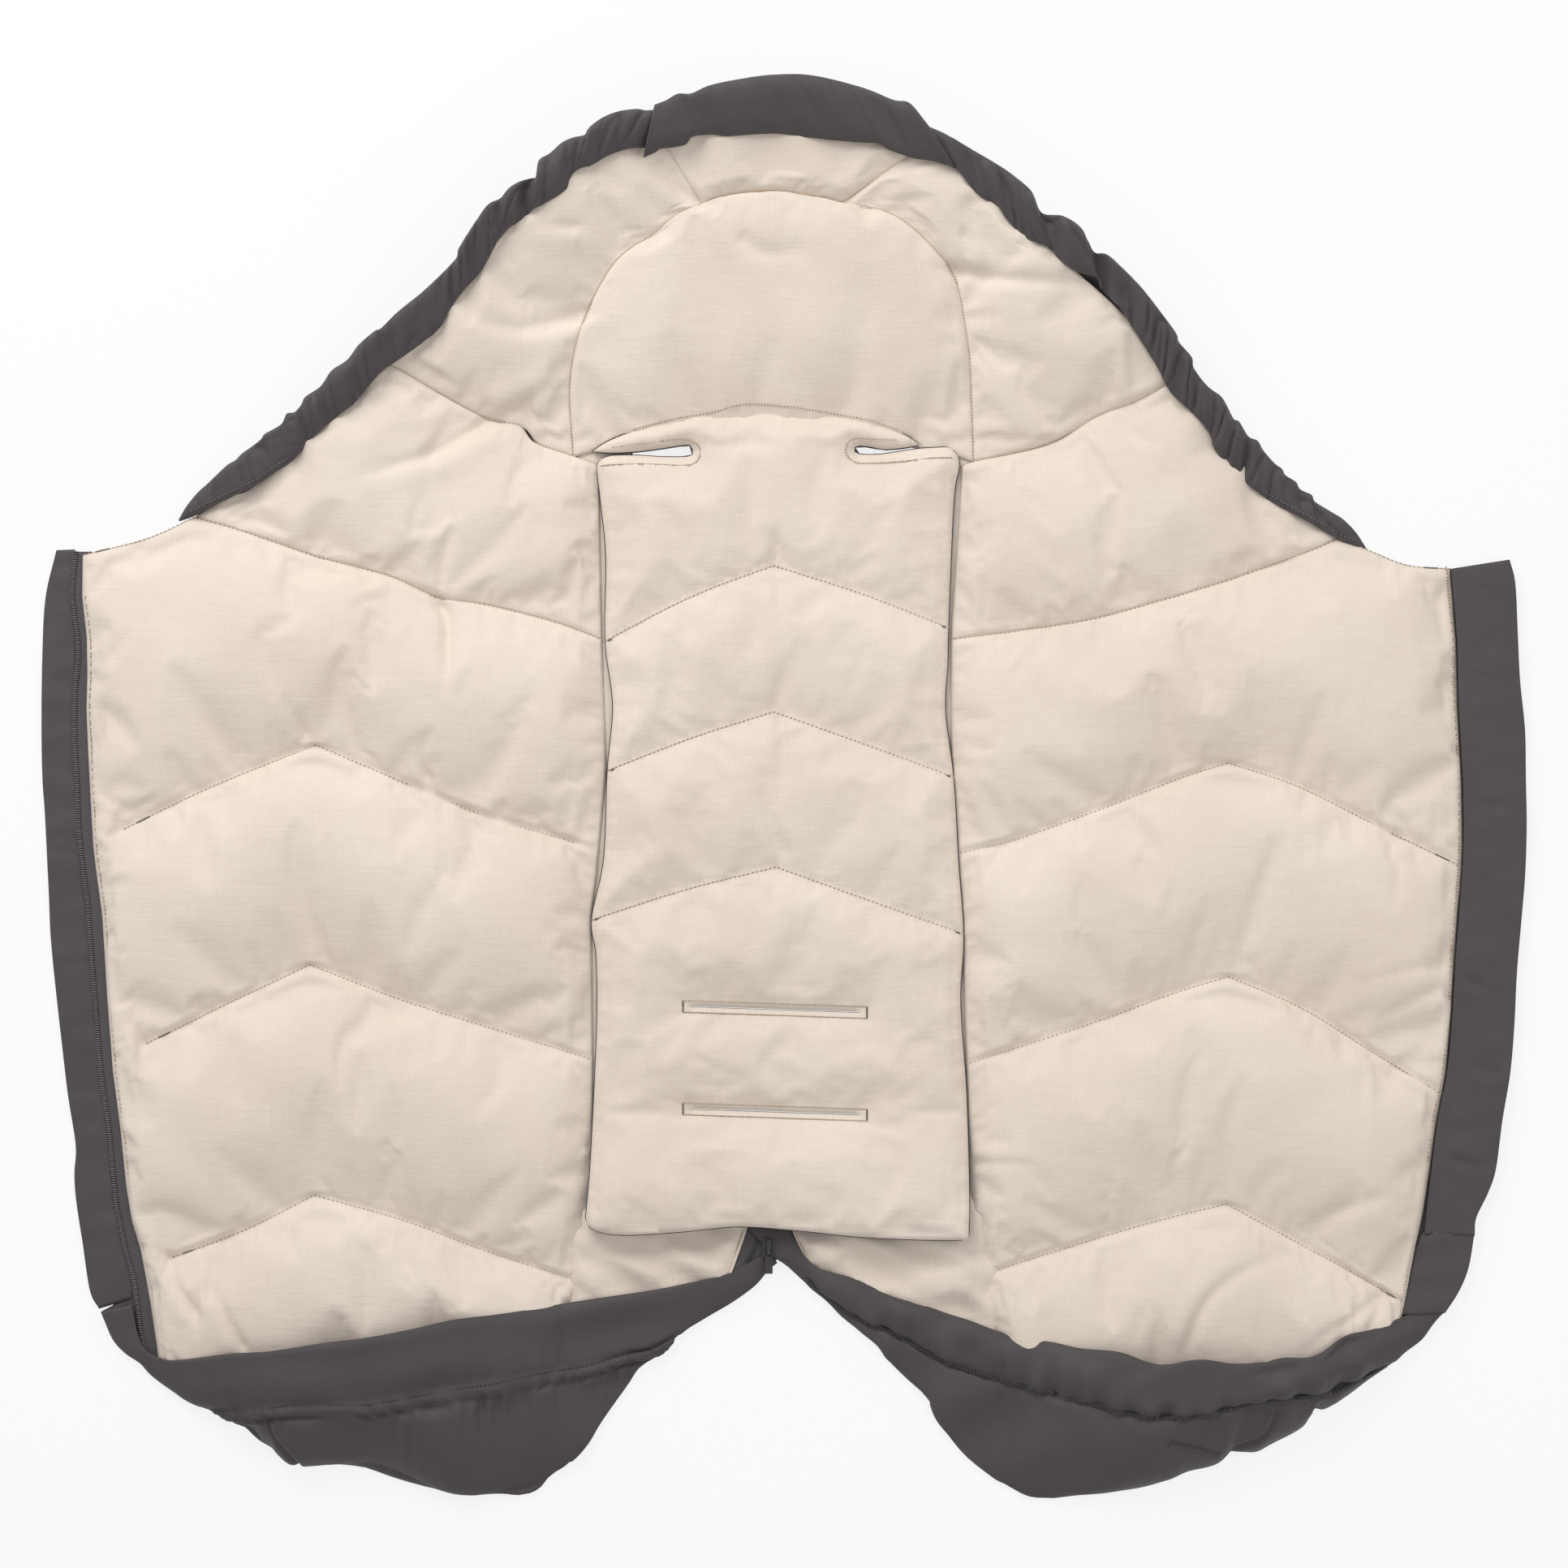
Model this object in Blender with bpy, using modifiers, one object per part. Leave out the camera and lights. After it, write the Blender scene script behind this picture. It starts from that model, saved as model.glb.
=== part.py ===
"""Stroller footmuff, unzipped at the front and laid open on its back, seen from the child's side.

A window for the harness runs up the middle of the back. Two quilted front wings fold up from lines
beside it, a quilted seat pad hangs over it from the hood, and the toe end opens into two pockets.
X runs across, +Y towards the hood, +Z up, and the origin is on the floor under the middle.
Sizes are in millimetres until a mesh is made, which is in metres.
"""

import math
from collections import namedtuple

import bmesh
import bpy
import numpy as np
from mathutils import Matrix, Vector

MM = 0.001

# Cloth and gaps
SHELL = 1.2
SKIN = 1.0
GAP = 0.4
SEAM_HEIGHT = 5.0

# Where the wings fold, and how high their hinge lines lie
FOLD_X = 143.6
FOLD_HEIGHT = 10.0

# Crowns of the quilting above its seams
WING_CROWN = 16.0
SHOULDER_CROWN = 12.0
PAD_CROWN = 14.0
HOOD_CROWN = 8.0
WADDING_SHARE = 0.5
WADDING_INSET = 3.0

# The hood is a shallow bowl: its rim stands up where the elastic draws it in
BOWL_HALF_WIDTH = 259.0
BOWL_HALF_LENGTH = 212.0
BOWL_CENTRE_Y = 220.0
BOWL_RISE = 42.0
BOWL_START_Y = 190.0
BOWL_BLEND = 200.0
HOOD_SEAM_HEIGHT = 5.5
HOOD_WADDING_GAP = 1.3

# The back under the pad, with its window for the harness
BACK_TOP_Y = 235.0
BACK_FROM_FOLD = 0.6
BACK_LINING_SIDE_Y = 214.0
BACK_LINING_CORNER = (20.0, 6.0)
BACK_PAD_TOP = 4.4
WINDOW_HALF_WIDTH = 101.0
WINDOW_TOP_Y = 226.0
WINDOW_BOTTOM_Y = -242.0
WINDOW_CORNER = 8.0

# The pad hangs from the hood between two slits for the shoulder straps
PAD_BACKING = 0.8
PAD_UNDERSIDE = 5.0
PAD_END_LIFT = 13.5
PAD_LIFT_START_Y = -217.0
PAD_LIFT_LENGTH = 83.0
SLOT_LEFT_X = -67.0
SLOT_RIGHT_X = 55.0
SLOT_HEIGHT = 6.5
SLOT_CENTRES_Y = (-149.5, -217.5)
PAD_HINGE = (-7.0, 226.0, 7.5)

# Toe pockets
POCKET_RIM = 40.0
POCKET_RIM_END = 9.0
POCKET_RIM_FOLD = 11.0
POCKET_RIM_NOTCH = 8.0
TOE_LINING = 1.6
TOE_LINING_END = 0.5
TOE_LINING_INSET = 4.0
TOE_LINING_SHORTER = 16.0

# How far down each pocket, rim 0 to toe 1, the zip and the flap's base run over it, from the zip side to the notch
TOE_COIL_SHARES = (0.93, 0.72, 0.52, 0.55, 0.42, 0.30)
NECK_COIL_SHARES = (0.33, 0.42, 0.50, 0.56, 0.60)
TOE_FLAP_SHARES = (0.90, 0.80, 0.66, 0.55, 0.42, 0.38)
NECK_FLAP_SHARES = (0.40, 0.55, 0.72, 0.85, 0.92)
FLAP_BASE = 1.0
TOE_STEPS = 16

# Zip
COIL_RADIUS = 1.3
COIL_FROM_EDGE = 1.6
COIL_LIFT_OVER_TOE = 1.8 * COIL_RADIUS
TAPE = 0.8
CHAIN_X = -10.0
CHAIN_LOW_Y = -315.0
CHAIN_HIGH_Y = -262.0
CHAIN_HALF_WIDTH = 2.2
CHAIN_THICKNESS = 2.0
STOP_HALF_WIDTH = 3.2
STOP_LENGTH = 5.0
SLIDER_CENTRE_Y = -307.5
SLIDER_LENGTH = 13.0
SLIDER_WIDTH = 9.0
SLIDER_PLATE = 1.2
SLIDER_CHANNEL_HALF = 2.8
BRIDGE_HALF_WIDTH = 1.2
BRIDGE_HEIGHT = 3.4
BRIDGE_EYE_HEIGHT = 2.3
PULLER_PIVOT_FROM_END = 3.7
PULLER_LENGTH = 20.0
PULLER_WIDTH = 5.0
PULLER_THICKNESS = 1.2
PULLER_WINDOW_HALF = 1.7

# Quilt seams of the wings and the edges around them, each from the zip side to the fold
LEFT_SHOULDER = (
    [(-266, 269), (-203, 243), (-147, 213)],
    [(-326, 213), (-235, 184), (-147, 159)],
    [(-388, 175), (-306, 148), (-230, 124), (-147, 106)],
)
LEFT_WING = (
    [(-460, 152), (-422, 163), (-389, 174), (-306, 146), (-230, 122), (-147, 104)],
    [(-456, -40), (-387, -5), (-311, 26), (-227, -9), (-147, -36)],
    [(-442, -183), (-382, -152), (-315, -120), (-230, -151), (-147, -175)],
    [(-424, -321), (-370, -300), (-312, -273), (-230, -299), (-147, -326)],
    [(-418, -378), (-360, -374), (-252, -357), (-147, -342)],
)
RIGHT_SHOULDER = (
    [(257, 258), (205, 238), (147, 215)],
    [(292, 210), (216, 181), (147, 158)],
    [(365, 161), (288, 132), (218, 113), (147, 102)],
)
SHOULDER_PINCH = (1.0, 0.0, 1.0)
RIGHT_WING = (
    [(442, 143), (415, 145), (391, 154), (367, 159), (288, 130), (218, 111), (147, 100)],
    [(447, -55), (375, -16), (295, 14), (218, -14), (147, -40)],
    [(434, -208), (364, -161), (295, -128), (218, -153), (147, -178)],
    [(419, -332), (375, -313), (294, -279), (218, -299), (147, -322)],
    [(410, -357), (364, -375), (321, -383), (261, -381), (213, -376), (147, -362)],
)

# Edges of the toe pockets, each from the zip side to the fold
LEFT_POCKET = (
    [(-418, -381), (-360, -377), (-252, -360), (-147, -345)],
    [(-411, -392), (-362, -424), (-325, -449), (-235, -468), (-176, -472), (-147, -449)],
)
RIGHT_POCKET = (
    [(411, -360), (364, -378), (321, -386), (261, -384), (213, -379), (147, -365)],
    [(415, -372), (391, -394), (364, -410), (321, -434), (294, -440), (234, -468), (178, -473), (147, -460)],
)

# The same edges on the back, from the fold to the notch where the zip ends
LEFT_NECK = (
    [(-143, -344), (-100, -338), (-63, -329), (-36, -322), (-16, -315)],
    [(-143, -448), (-122, -424), (-98, -389), (-65, -365), (-24, -338), (-13, -320)],
)
RIGHT_NECK = (
    [(143, -364), (89, -346), (51, -333), (24, -323), (4, -314)],
    [(143, -459), (126, -450), (99, -411), (64, -376), (29, -354), (2, -324)],
)

# Hood: seams from the pad up to the top insert, then the line where each panel meets the casing
HOOD_SEAM_LEFT = [(-139, 219), (-141, 262), (-136, 295), (-125, 322), (-109, 346), (-87, 368), (-67, 382)]
HOOD_SEAM_RIGHT = [(125, 219), (124, 262), (121, 295), (113, 333), (99, 352), (78, 377)]
HOOD_CENTRE = (
    HOOD_SEAM_LEFT,
    [(-79, 230), (-63, 316), (-51, 387)],
    [(-14, 231), (-12, 322), (-11, 389)],
    [(53, 230), (48, 316), (37, 383)],
    HOOD_SEAM_RIGHT,
)
HOOD_INSERT = (
    [(-67, 382), (-73.5, 400.5), (-80, 419)],
    [(-51, 387), (-54, 408), (-56, 428)],
    [(-11, 389), (-9, 410), (-7, 431)],
    [(37, 383), (46, 404), (55, 424)],
    [(78, 377), (83, 396), (87, 415)],
)
HOOD_EDGE_LEFT = [(-261, 275), (-226, 306), (-195, 352), (-154, 397), (-133, 409), (-100, 416), (-80, 419)]
HOOD_EDGE_RIGHT = [(255, 266), (229, 305), (180, 345), (145, 380), (125, 396), (107, 409), (87, 415)]
HOOD_SHELL = (
    [(-262, 275), (-255, 281)],
    [(-205, 251), (-205, 337)],
    [(-150, 238), (-152, 397)],
    [(-80, 239), (-90, 416)],
    [(-12, 239), (-8, 429)],
    [(60, 239), (60, 421)],
    [(135, 238), (135, 386)],
    [(200, 247), (200, 326)],
    [(253, 267), (247, 282)],
)

# Middle of the gathered casing round the hood's edge
CASING_CENTRE = [(-76, 440), (-41, 450), (-3, 454), (40, 450), (78, 440), (103, 429)]
CASING_LEFT = [(-276, 285), (-244, 318), (-211, 353), (-176, 389), (-149, 415), (-119, 431), (-85, 438)]
CASING_RIGHT = [(111, 423), (145, 397), (180, 367), (213, 339), (240, 310), (262, 284)]
CASING_LEFT_END = [(-399, 180), (-362, 212), (-324, 245), (-285, 279)]
CASING_RIGHT_END = [(268, 275), (294, 235), (329, 207), (377, 165)]
CASING_WIDE = 19.0
CASING_NARROW = 13.0
CASING_RIGHT_TIP = 10.0
CASING_HALF_HEIGHT = 8.0
CASING_MIDDLE_HEIGHT = 8.5
CASING_OPENING = math.radians(140)
CASING_GATHER = 1.4
ELASTIC_RADIUS = 2.6

# Seat pad: neck, shoulders, three chevron seams, the two slot rows and the free end, left to right
PAD = (
    [(-57, 224), (-7, 224), (44, 224)],
    [(-58, 217), (-7, 217), (45, 217)],
    [(-120, 210), (-7, 213), (115, 211)],
    [(-121, 200), (-7, 204), (116, 201)],
    [(-119, 95), (-62, 124), (-7, 145), (52, 126), (109, 106)],
    [(-116, 9), (-60, 31), (-7, 48), (52, 27), (109, 6)],
    [(-126, -90), (-65, -70), (-5, -55), (56, -77), (116, -97)],
    [(-125, -149), (-6, -149), (118, -149)],
    [(-125, -217), (-6, -217), (120, -217)],
    [(-125, -262), (-6, -262), (121, -262)],
    [(-124, -299), (-60, -300), (-6, -298), (60, -300), (121, -302)],
)
PAD_PINCH = (0.8, 0.6, 0.6, 0.0, 1.0, 1.0, 1.0, 0.55, 0.55, 0.0, 1.0)

# Loose cloth along the zip: a storm flap outside the left wing and a guard inside the right one
STORM_FLAP_THICKNESS = 1.8
STORM_FLAP = (
    [(-484, 154), (-493, 90), (-494, 3), (-489, -51), (-480, -153), (-469, -234), (-460, -321), (-451, -353)],
    [(-471, 150), (-470, 90), (-469, 3), (-464, -62), (-456, -153), (-448, -234), (-438, -321), (-433, -349)],
)
ZIP_GUARD = (
    [(446, 142), (450, 79), (452, -18), (447, -126), (438, -207), (431, -278), (429, -297)],
    [(483, 148), (488, 79), (492, 9), (491, -72), (483, -191), (469, -256), (459, -299)],
)
STORM_FLAP_HINGE = ((-471, 150, 5.0), (-433, -349, 5.0))
ZIP_GUARD_HINGE = ((449, 144, 7.5), (424, -337, 7.5))
LEFT_TAPE = (
    [(-469, 148), (-468, 90), (-467, 3), (-462, -62), (-454, -153), (-446, -234), (-436, -321), (-431, -349)],
    [(-463, 146), (-463, 90), (-461, 3), (-457, -62), (-448, -153), (-439, -234), (-430, -321), (-426, -349)],
)
RIGHT_TAPE = (
    [(444, 138), (448, 79), (450, -18), (446, -126), (437, -207), (430, -278), (426, -322)],
    [(460, 138), (464, 79), (466, -18), (462, -126), (452, -207), (443, -278), (438, -312)],
)

COLOURS = {
    "shell_fabric": (0.065, 0.055, 0.060, 0.62, 0.0),
    "lining_fabric": (0.745, 0.655, 0.555, 0.85, 0.0),
    "wadding": (0.85, 0.85, 0.83, 0.95, 0.0),
    "zip_tape": (0.090, 0.080, 0.085, 0.80, 0.0),
    "zip_coil": (0.020, 0.020, 0.022, 0.35, 0.0),
    "slider_metal": (0.060, 0.060, 0.065, 0.35, 0.8),
    "elastic": (0.80, 0.80, 0.78, 0.75, 0.0),
}

Place = namedtuple("Place", "x y u v t channel")


def new_collection(name, hidden=False):
    collection = bpy.data.collections.new(name)
    bpy.context.scene.collection.children.link(collection)
    collection.hide_render = hidden
    return collection


def material_for(node, finish):
    red, green, blue, roughness, metallic = COLOURS[finish]
    material = bpy.data.materials.new(f"{node}_{finish}")
    material.use_nodes = True
    shader = material.node_tree.nodes["Principled BSDF"]
    shader.inputs["Base Color"].default_value = (red, green, blue, 1.0)
    shader.inputs["Roughness"].default_value = roughness
    shader.inputs["Metallic"].default_value = metallic
    return material


def add_object(name, data, finish, collection=None):
    obj = bpy.data.objects.new(name, data)
    (collection or parts).objects.link(obj)
    if finish:
        data.materials.append(material_for(name, finish))
    return obj


def smoothstep(value):
    value = min(max(value, 0.0), 1.0)
    return value * value * (3 - 2 * value)


def smooth_points(points, steps):
    """Points on a smooth curve through the given ones, with this many steps to each span."""
    points = np.array(points, float)
    if len(points) == 2:
        points = np.array([points[0], points.mean(axis=0), points[1]])
        steps_here = steps / 2
    else:
        steps_here = steps
    before = 2 * points[0] - points[1]
    after = 2 * points[-1] - points[-2]
    guides = np.vstack([before, points, after])
    found = []
    total = int(round(steps_here * (len(points) - 1)))
    for step in range(total + 1):
        span, t = divmod(step / steps_here, 1.0)
        span = int(span)
        if span == len(points) - 1:
            span, t = span - 1, 1.0
        a, b, c, d = guides[span : span + 4]
        bend = 2 * b + (c - a) * t + (2 * a - 5 * b + 4 * c - d) * t**2 + (3 * b - a - 3 * c + d) * t**3
        found.append(bend / 2)
    return np.array(found)


def even_line(points, steps):
    """The smooth curve through the points, cut into steps of one length."""
    fine = smooth_points(points, 16)
    travelled = np.concatenate([[0], np.cumsum(np.linalg.norm(np.diff(fine, axis=0), axis=1))])
    stops = np.linspace(0, travelled[-1], steps + 1)
    return np.column_stack([np.interp(stops, travelled, fine[:, axis]) for axis in range(fine.shape[1])])


def loft(lines, across, along):
    """A patch of points through the lines: rows follow the lines, and columns run smoothly over them."""
    rails = np.array([even_line(line, across) for line in lines])
    return np.stack([smooth_points(rails[:, column], along) for column in range(across + 1)], axis=1)


def drawn_in(patch, gap):
    """The patch with its border pulled in by the gap that neighbouring pieces keep."""

    def step_in(edge, inner):
        away = inner - edge
        return gap * away / np.maximum(np.linalg.norm(away, axis=-1, keepdims=True), 1e-9)

    moved = patch.copy()
    moved[0] += step_in(patch[0], patch[1])
    moved[-1] += step_in(patch[-1], patch[-2])
    moved[:, 0] += step_in(patch[:, 0], patch[:, 1])
    moved[:, -1] += step_in(patch[:, -1], patch[:, -2])
    return moved


def layer(name, lines, across, along, low, high, finish, gap=GAP):
    """A cloth or wadding piece over a patch, between a lower and an upper height, each a rule of the place."""
    patch = drawn_in(loft(lines, across, along), gap)
    rows, columns = patch.shape[:2]
    mesh = bmesh.new()
    bmesh.ops.create_grid(mesh, x_segments=columns - 1, y_segments=rows - 1, size=0.5)
    bmesh.ops.triangulate(mesh, faces=mesh.faces[:])
    station = mesh.verts.layers.int.new("station")
    places = []
    for vertex in mesh.verts:
        column = round((vertex.co.x + 0.5) * (columns - 1))
        row = round((vertex.co.y + 0.5) * (rows - 1))
        channel = min(row // along, len(lines) - 2)
        x, y = patch[row, column]
        vertex[station] = len(places)
        places.append(Place(x, y, column / (columns - 1), row / (rows - 1), row / along - channel, channel))
    lower = mesh.verts[:]
    raised = bmesh.ops.extrude_face_region(mesh, geom=mesh.faces[:], use_keep_orig=True)
    upper = [item for item in raised["geom"] if isinstance(item, bmesh.types.BMVert)]
    for vertices, height in ((lower, low), (upper, high)):
        for vertex in vertices:
            place = places[vertex[station]]
            vertex.co = (place.x * MM, place.y * MM, height(place) * MM)
    bmesh.ops.recalc_face_normals(mesh, faces=mesh.faces[:])
    data = bpy.data.meshes.new(name)
    mesh.to_mesh(data)
    mesh.free()
    data.shade_smooth()
    data.set_sharp_from_angle(angle=math.radians(50))
    return add_object(name, data, finish)


def plate(name, outlines, low, high, finish):
    """A flat cloth piece: an outline and any holes in it, filled, with its thickness."""
    curve = bpy.data.curves.new(name, "CURVE")
    curve.dimensions = "2D"
    curve.fill_mode = "BOTH"
    curve.extrude = (high - low) / 2 * MM
    for outline in outlines:
        spline = curve.splines.new("POLY")
        spline.points.add(len(outline) - 1)
        for point, (x, y) in zip(spline.points, outline):
            point.co = (x * MM, y * MM, 0, 1)
        spline.use_cyclic_u = True
    obj = add_object(name, curve, finish)
    obj.location.z = (low + high) / 2 * MM
    return obj


def tube(name, points, radius, finish, resolution=1):
    curve = bpy.data.curves.new(name, "CURVE")
    curve.dimensions = "3D"
    curve.bevel_depth = radius * MM
    curve.bevel_resolution = resolution
    curve.use_fill_caps = True
    spline = curve.splines.new("POLY")
    spline.points.add(len(points) - 1)
    for point, (x, y, z) in zip(spline.points, points):
        point.co = (x * MM, y * MM, z * MM, 1)
    return add_object(name, curve, finish)


def box(name, low, high, finish, bevel=0.0, collection=None):
    mesh = bmesh.new()
    bmesh.ops.create_cube(mesh, size=1.0)
    for vertex in mesh.verts:
        for axis in range(3):
            middle = (low[axis] + high[axis]) / 2
            vertex.co[axis] = (middle + vertex.co[axis] * (high[axis] - low[axis])) * MM
    data = bpy.data.meshes.new(name)
    mesh.to_mesh(data)
    mesh.free()
    obj = add_object(name, data, finish, collection)
    if bevel:
        rounded = obj.modifiers.new("rounded", "BEVEL")
        rounded.width = bevel * MM
        rounded.segments = 2
    return obj


def cut(obj, cutter, operation="DIFFERENCE"):
    modifier = obj.modifiers.new(cutter.name, "BOOLEAN")
    modifier.operation = operation
    modifier.object = cutter
    cutter.hide_render = True
    cutter.display_type = "WIRE"


def bowl(x, y):
    """How far the hood's outside stands off the floor."""
    spread = (x / BOWL_HALF_WIDTH) ** 2 + ((y - BOWL_CENTRE_Y) / BOWL_HALF_LENGTH) ** 2
    return BOWL_RISE * spread * smoothstep((y - BOWL_START_Y) / BOWL_BLEND)


def hood_top(x, y):
    """Top of the hood's lining: fullest in the middle, thin at the casing and at the pad."""
    spread = (x / BOWL_HALF_WIDTH) ** 2 + ((y - BOWL_CENTRE_Y) / BOWL_HALF_LENGTH) ** 2
    fullness = max(0.0, 1 - spread) * smoothstep((y - 230) / 70)
    return bowl(x, y) + HOOD_SEAM_HEIGHT + HOOD_CROWN * fullness


def round_rise(part):
    """A quarter circle's rise from 0 to 1, then level."""
    return math.sqrt(1 - (1 - min(max(part, 0.0), 1.0)) ** 2)


def pillow(place, pinch=None):
    """Fullness of a quilted channel: 0 in its sewn seams and at the sides, 1 in the middle."""
    first, second = (1.0, 1.0) if pinch is None else pinch[place.channel : place.channel + 2]
    over = 1 - first * (1 - round_rise(2 * place.t)) - second * (1 - round_rise(2 * (1 - place.t)))
    side = (4 * place.u * (1 - place.u)) ** 0.3 if 0 < place.u < 1 else 0.0
    return max(over, 0.0) * side


def quilted_stack(prefix, lines, across, along, crown, pinch=None):
    """Wadding and lining over a flat or lifted shell, sewn together along the lines."""

    def top(place):
        return bowl(place.x, place.y) + SEAM_HEIGHT + crown * pillow(place, pinch)

    layer(f"{prefix}_lining", lines, across, along, lambda p: top(p) - SKIN, top, "lining_fabric")
    layer(
        f"{prefix}_wadding",
        lines,
        across // 2,
        2,
        lambda p: bowl(p.x, p.y) + SHELL + 2 * GAP,
        lambda p: bowl(p.x, p.y) + SEAM_HEIGHT - SKIN - 2 * GAP + WADDING_SHARE * crown * pillow(p, pinch),
        "wadding",
        gap=WADDING_INSET,
    )


def shoulder(side, lines):
    """The part of a wing between the hood and the first quilt seam of the body."""
    quilted_stack(f"{side}_shoulder", lines, 10, 3, SHOULDER_CROWN, SHOULDER_PINCH)
    layer(
        f"{side}_shoulder_shell",
        lines,
        10,
        2,
        lambda p: bowl(p.x, p.y),
        lambda p: bowl(p.x, p.y) + SHELL,
        "shell_fabric",
    )


def wing_shell(side, wing_lines, pocket_lines):
    """The dark outside of a wing, flat on the floor from the shoulder seam to the end of the toe."""
    top = even_line(wing_lines[0], 12)
    zip_side = even_line([line[0] for line in wing_lines[1:-1]], 10)
    toe = even_line(pocket_lines[1], 18)
    outline = np.vstack([top[::-1], zip_side, toe])
    plate(f"{side}_wing_shell", [outline], 0, SHELL, "shell_fabric")


def pocket_height(place):
    """Top of a wing's toe pocket: a soft dome, highest at the middle of its rim, down to the shell at the toe."""
    ends = POCKET_RIM_END + (POCKET_RIM_FOLD - POCKET_RIM_END) * place.u
    rim = ends + (POCKET_RIM - ends) * math.sin(math.pi * place.u) ** 0.9
    down = SHELL + GAP + SHELL
    return down + (rim - down) * math.sqrt(max(0.0, 1 - place.v**2))


def neck_height(place):
    """Top of the pocket's low part beside the zip's end, on the back."""
    rim = POCKET_RIM_FOLD + (POCKET_RIM_NOTCH - POCKET_RIM_FOLD) * place.u
    down = SHELL + GAP + SHELL
    return down + (rim - down) * math.sqrt(max(0.0, 1 - place.v**2))


def over_pocket(lines, steps, shares, height):
    """Points on a pocket's top along a line that runs these shares of the way down it, each with its height."""
    patch = loft(lines, steps, steps)
    points = []
    for column in range(1, steps):
        u = column / steps
        v = np.interp(u, np.linspace(0, 1, len(shares)), shares)
        x, y = (np.interp(v * steps, range(steps + 1), patch[:, column, axis]) for axis in (0, 1))
        points.append((x, y, height(Place(x, y, u, v, 0.0, 0))))
    return points


def toe_coil(name, lines, shares, height):
    """The zip's coil where it carries on over the outside of the toe."""
    route = [(x, y, z + GAP + COIL_LIFT_OVER_TOE) for x, y, z in over_pocket(lines, TOE_STEPS, shares, height)]
    tube(name, route, COIL_RADIUS, "zip_coil")


def toe_flap(name, lines, shares, height):
    """The flap's sewn base over the toe: a flat band from the pocket's rim down to a double row of stitching."""
    ridge = [(x, y) for x, y, z in over_pocket(lines, TOE_STEPS, shares, height)]
    rim = [tuple(point) for point in even_line(lines[0], TOE_STEPS)[1:-1]]

    def under(place):
        u = (1 + place.u * (TOE_STEPS - 2)) / TOE_STEPS
        share = np.interp(u, np.linspace(0, 1, len(shares)), shares)
        return height(place._replace(u=u, v=place.v * share)) + 4 * GAP

    layer(name, (rim, ridge), TOE_STEPS, 4, under, lambda p: under(p) + FLAP_BASE, "shell_fabric", gap=1.0)


def toe_pocket(side, pocket_lines, neck_lines):
    for name, lines, across, height in (
        (f"{side}_toe_pocket", pocket_lines, 18, pocket_height),
        (f"{side}_toe_neck", neck_lines, 8, neck_height),
    ):
        layer(name, lines, across, 7, lambda p: height(p) - SHELL, height, "shell_fabric")
    floor_lines = (
        pocket_lines[0],
        [tuple(point) for point in (np.array(pocket_lines[1]) + np.array([0, TOE_LINING_SHORTER]))],
    )
    layer(
        f"{side}_toe_lining",
        floor_lines,
        10,
        2,
        lambda p: SHELL + GAP,
        lambda p: SHELL + GAP + (TOE_LINING if p.v < 0.7 else TOE_LINING_END),
        "lining_fabric",
        gap=TOE_LINING_INSET,
    )


def casing(name, middle, half_width, steps):
    """A gathered tunnel of shell cloth, open along its inner seam, round the hood's elastic."""
    line = even_line(middle, steps)
    ahead = np.gradient(line, axis=0)
    ahead /= np.linalg.norm(ahead, axis=1, keepdims=True)
    outward = np.column_stack([-ahead[:, 1], ahead[:, 0]])
    around = 8
    mesh = bmesh.new()
    bmesh.ops.create_grid(mesh, x_segments=steps, y_segments=around, size=0.5)
    for vertex in mesh.verts:
        station = round((vertex.co.x + 0.5) * steps)
        angle = CASING_OPENING * 2 * vertex.co.y
        x, y = line[station]
        gather = CASING_GATHER * (math.sin(2.1 * station) + 0.6 * math.sin(3.7 * station + 1.0))
        reach = (half_width + gather) * math.cos(angle)
        height = bowl(x, y) + CASING_MIDDLE_HEIGHT + CASING_HALF_HEIGHT * math.sin(angle)
        sideways = outward[station] * reach
        vertex.co = ((x + sideways[0]) * MM, (y + sideways[1]) * MM, height * MM)
    bmesh.ops.recalc_face_normals(mesh, faces=mesh.faces[:])
    data = bpy.data.meshes.new(name)
    mesh.to_mesh(data)
    mesh.free()
    data.shade_smooth()
    obj = add_object(name, data, "shell_fabric")
    wall = obj.modifiers.new("cloth", "SOLIDIFY")
    wall.thickness = SHELL * MM
    wall.offset = 0
    return obj


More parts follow.
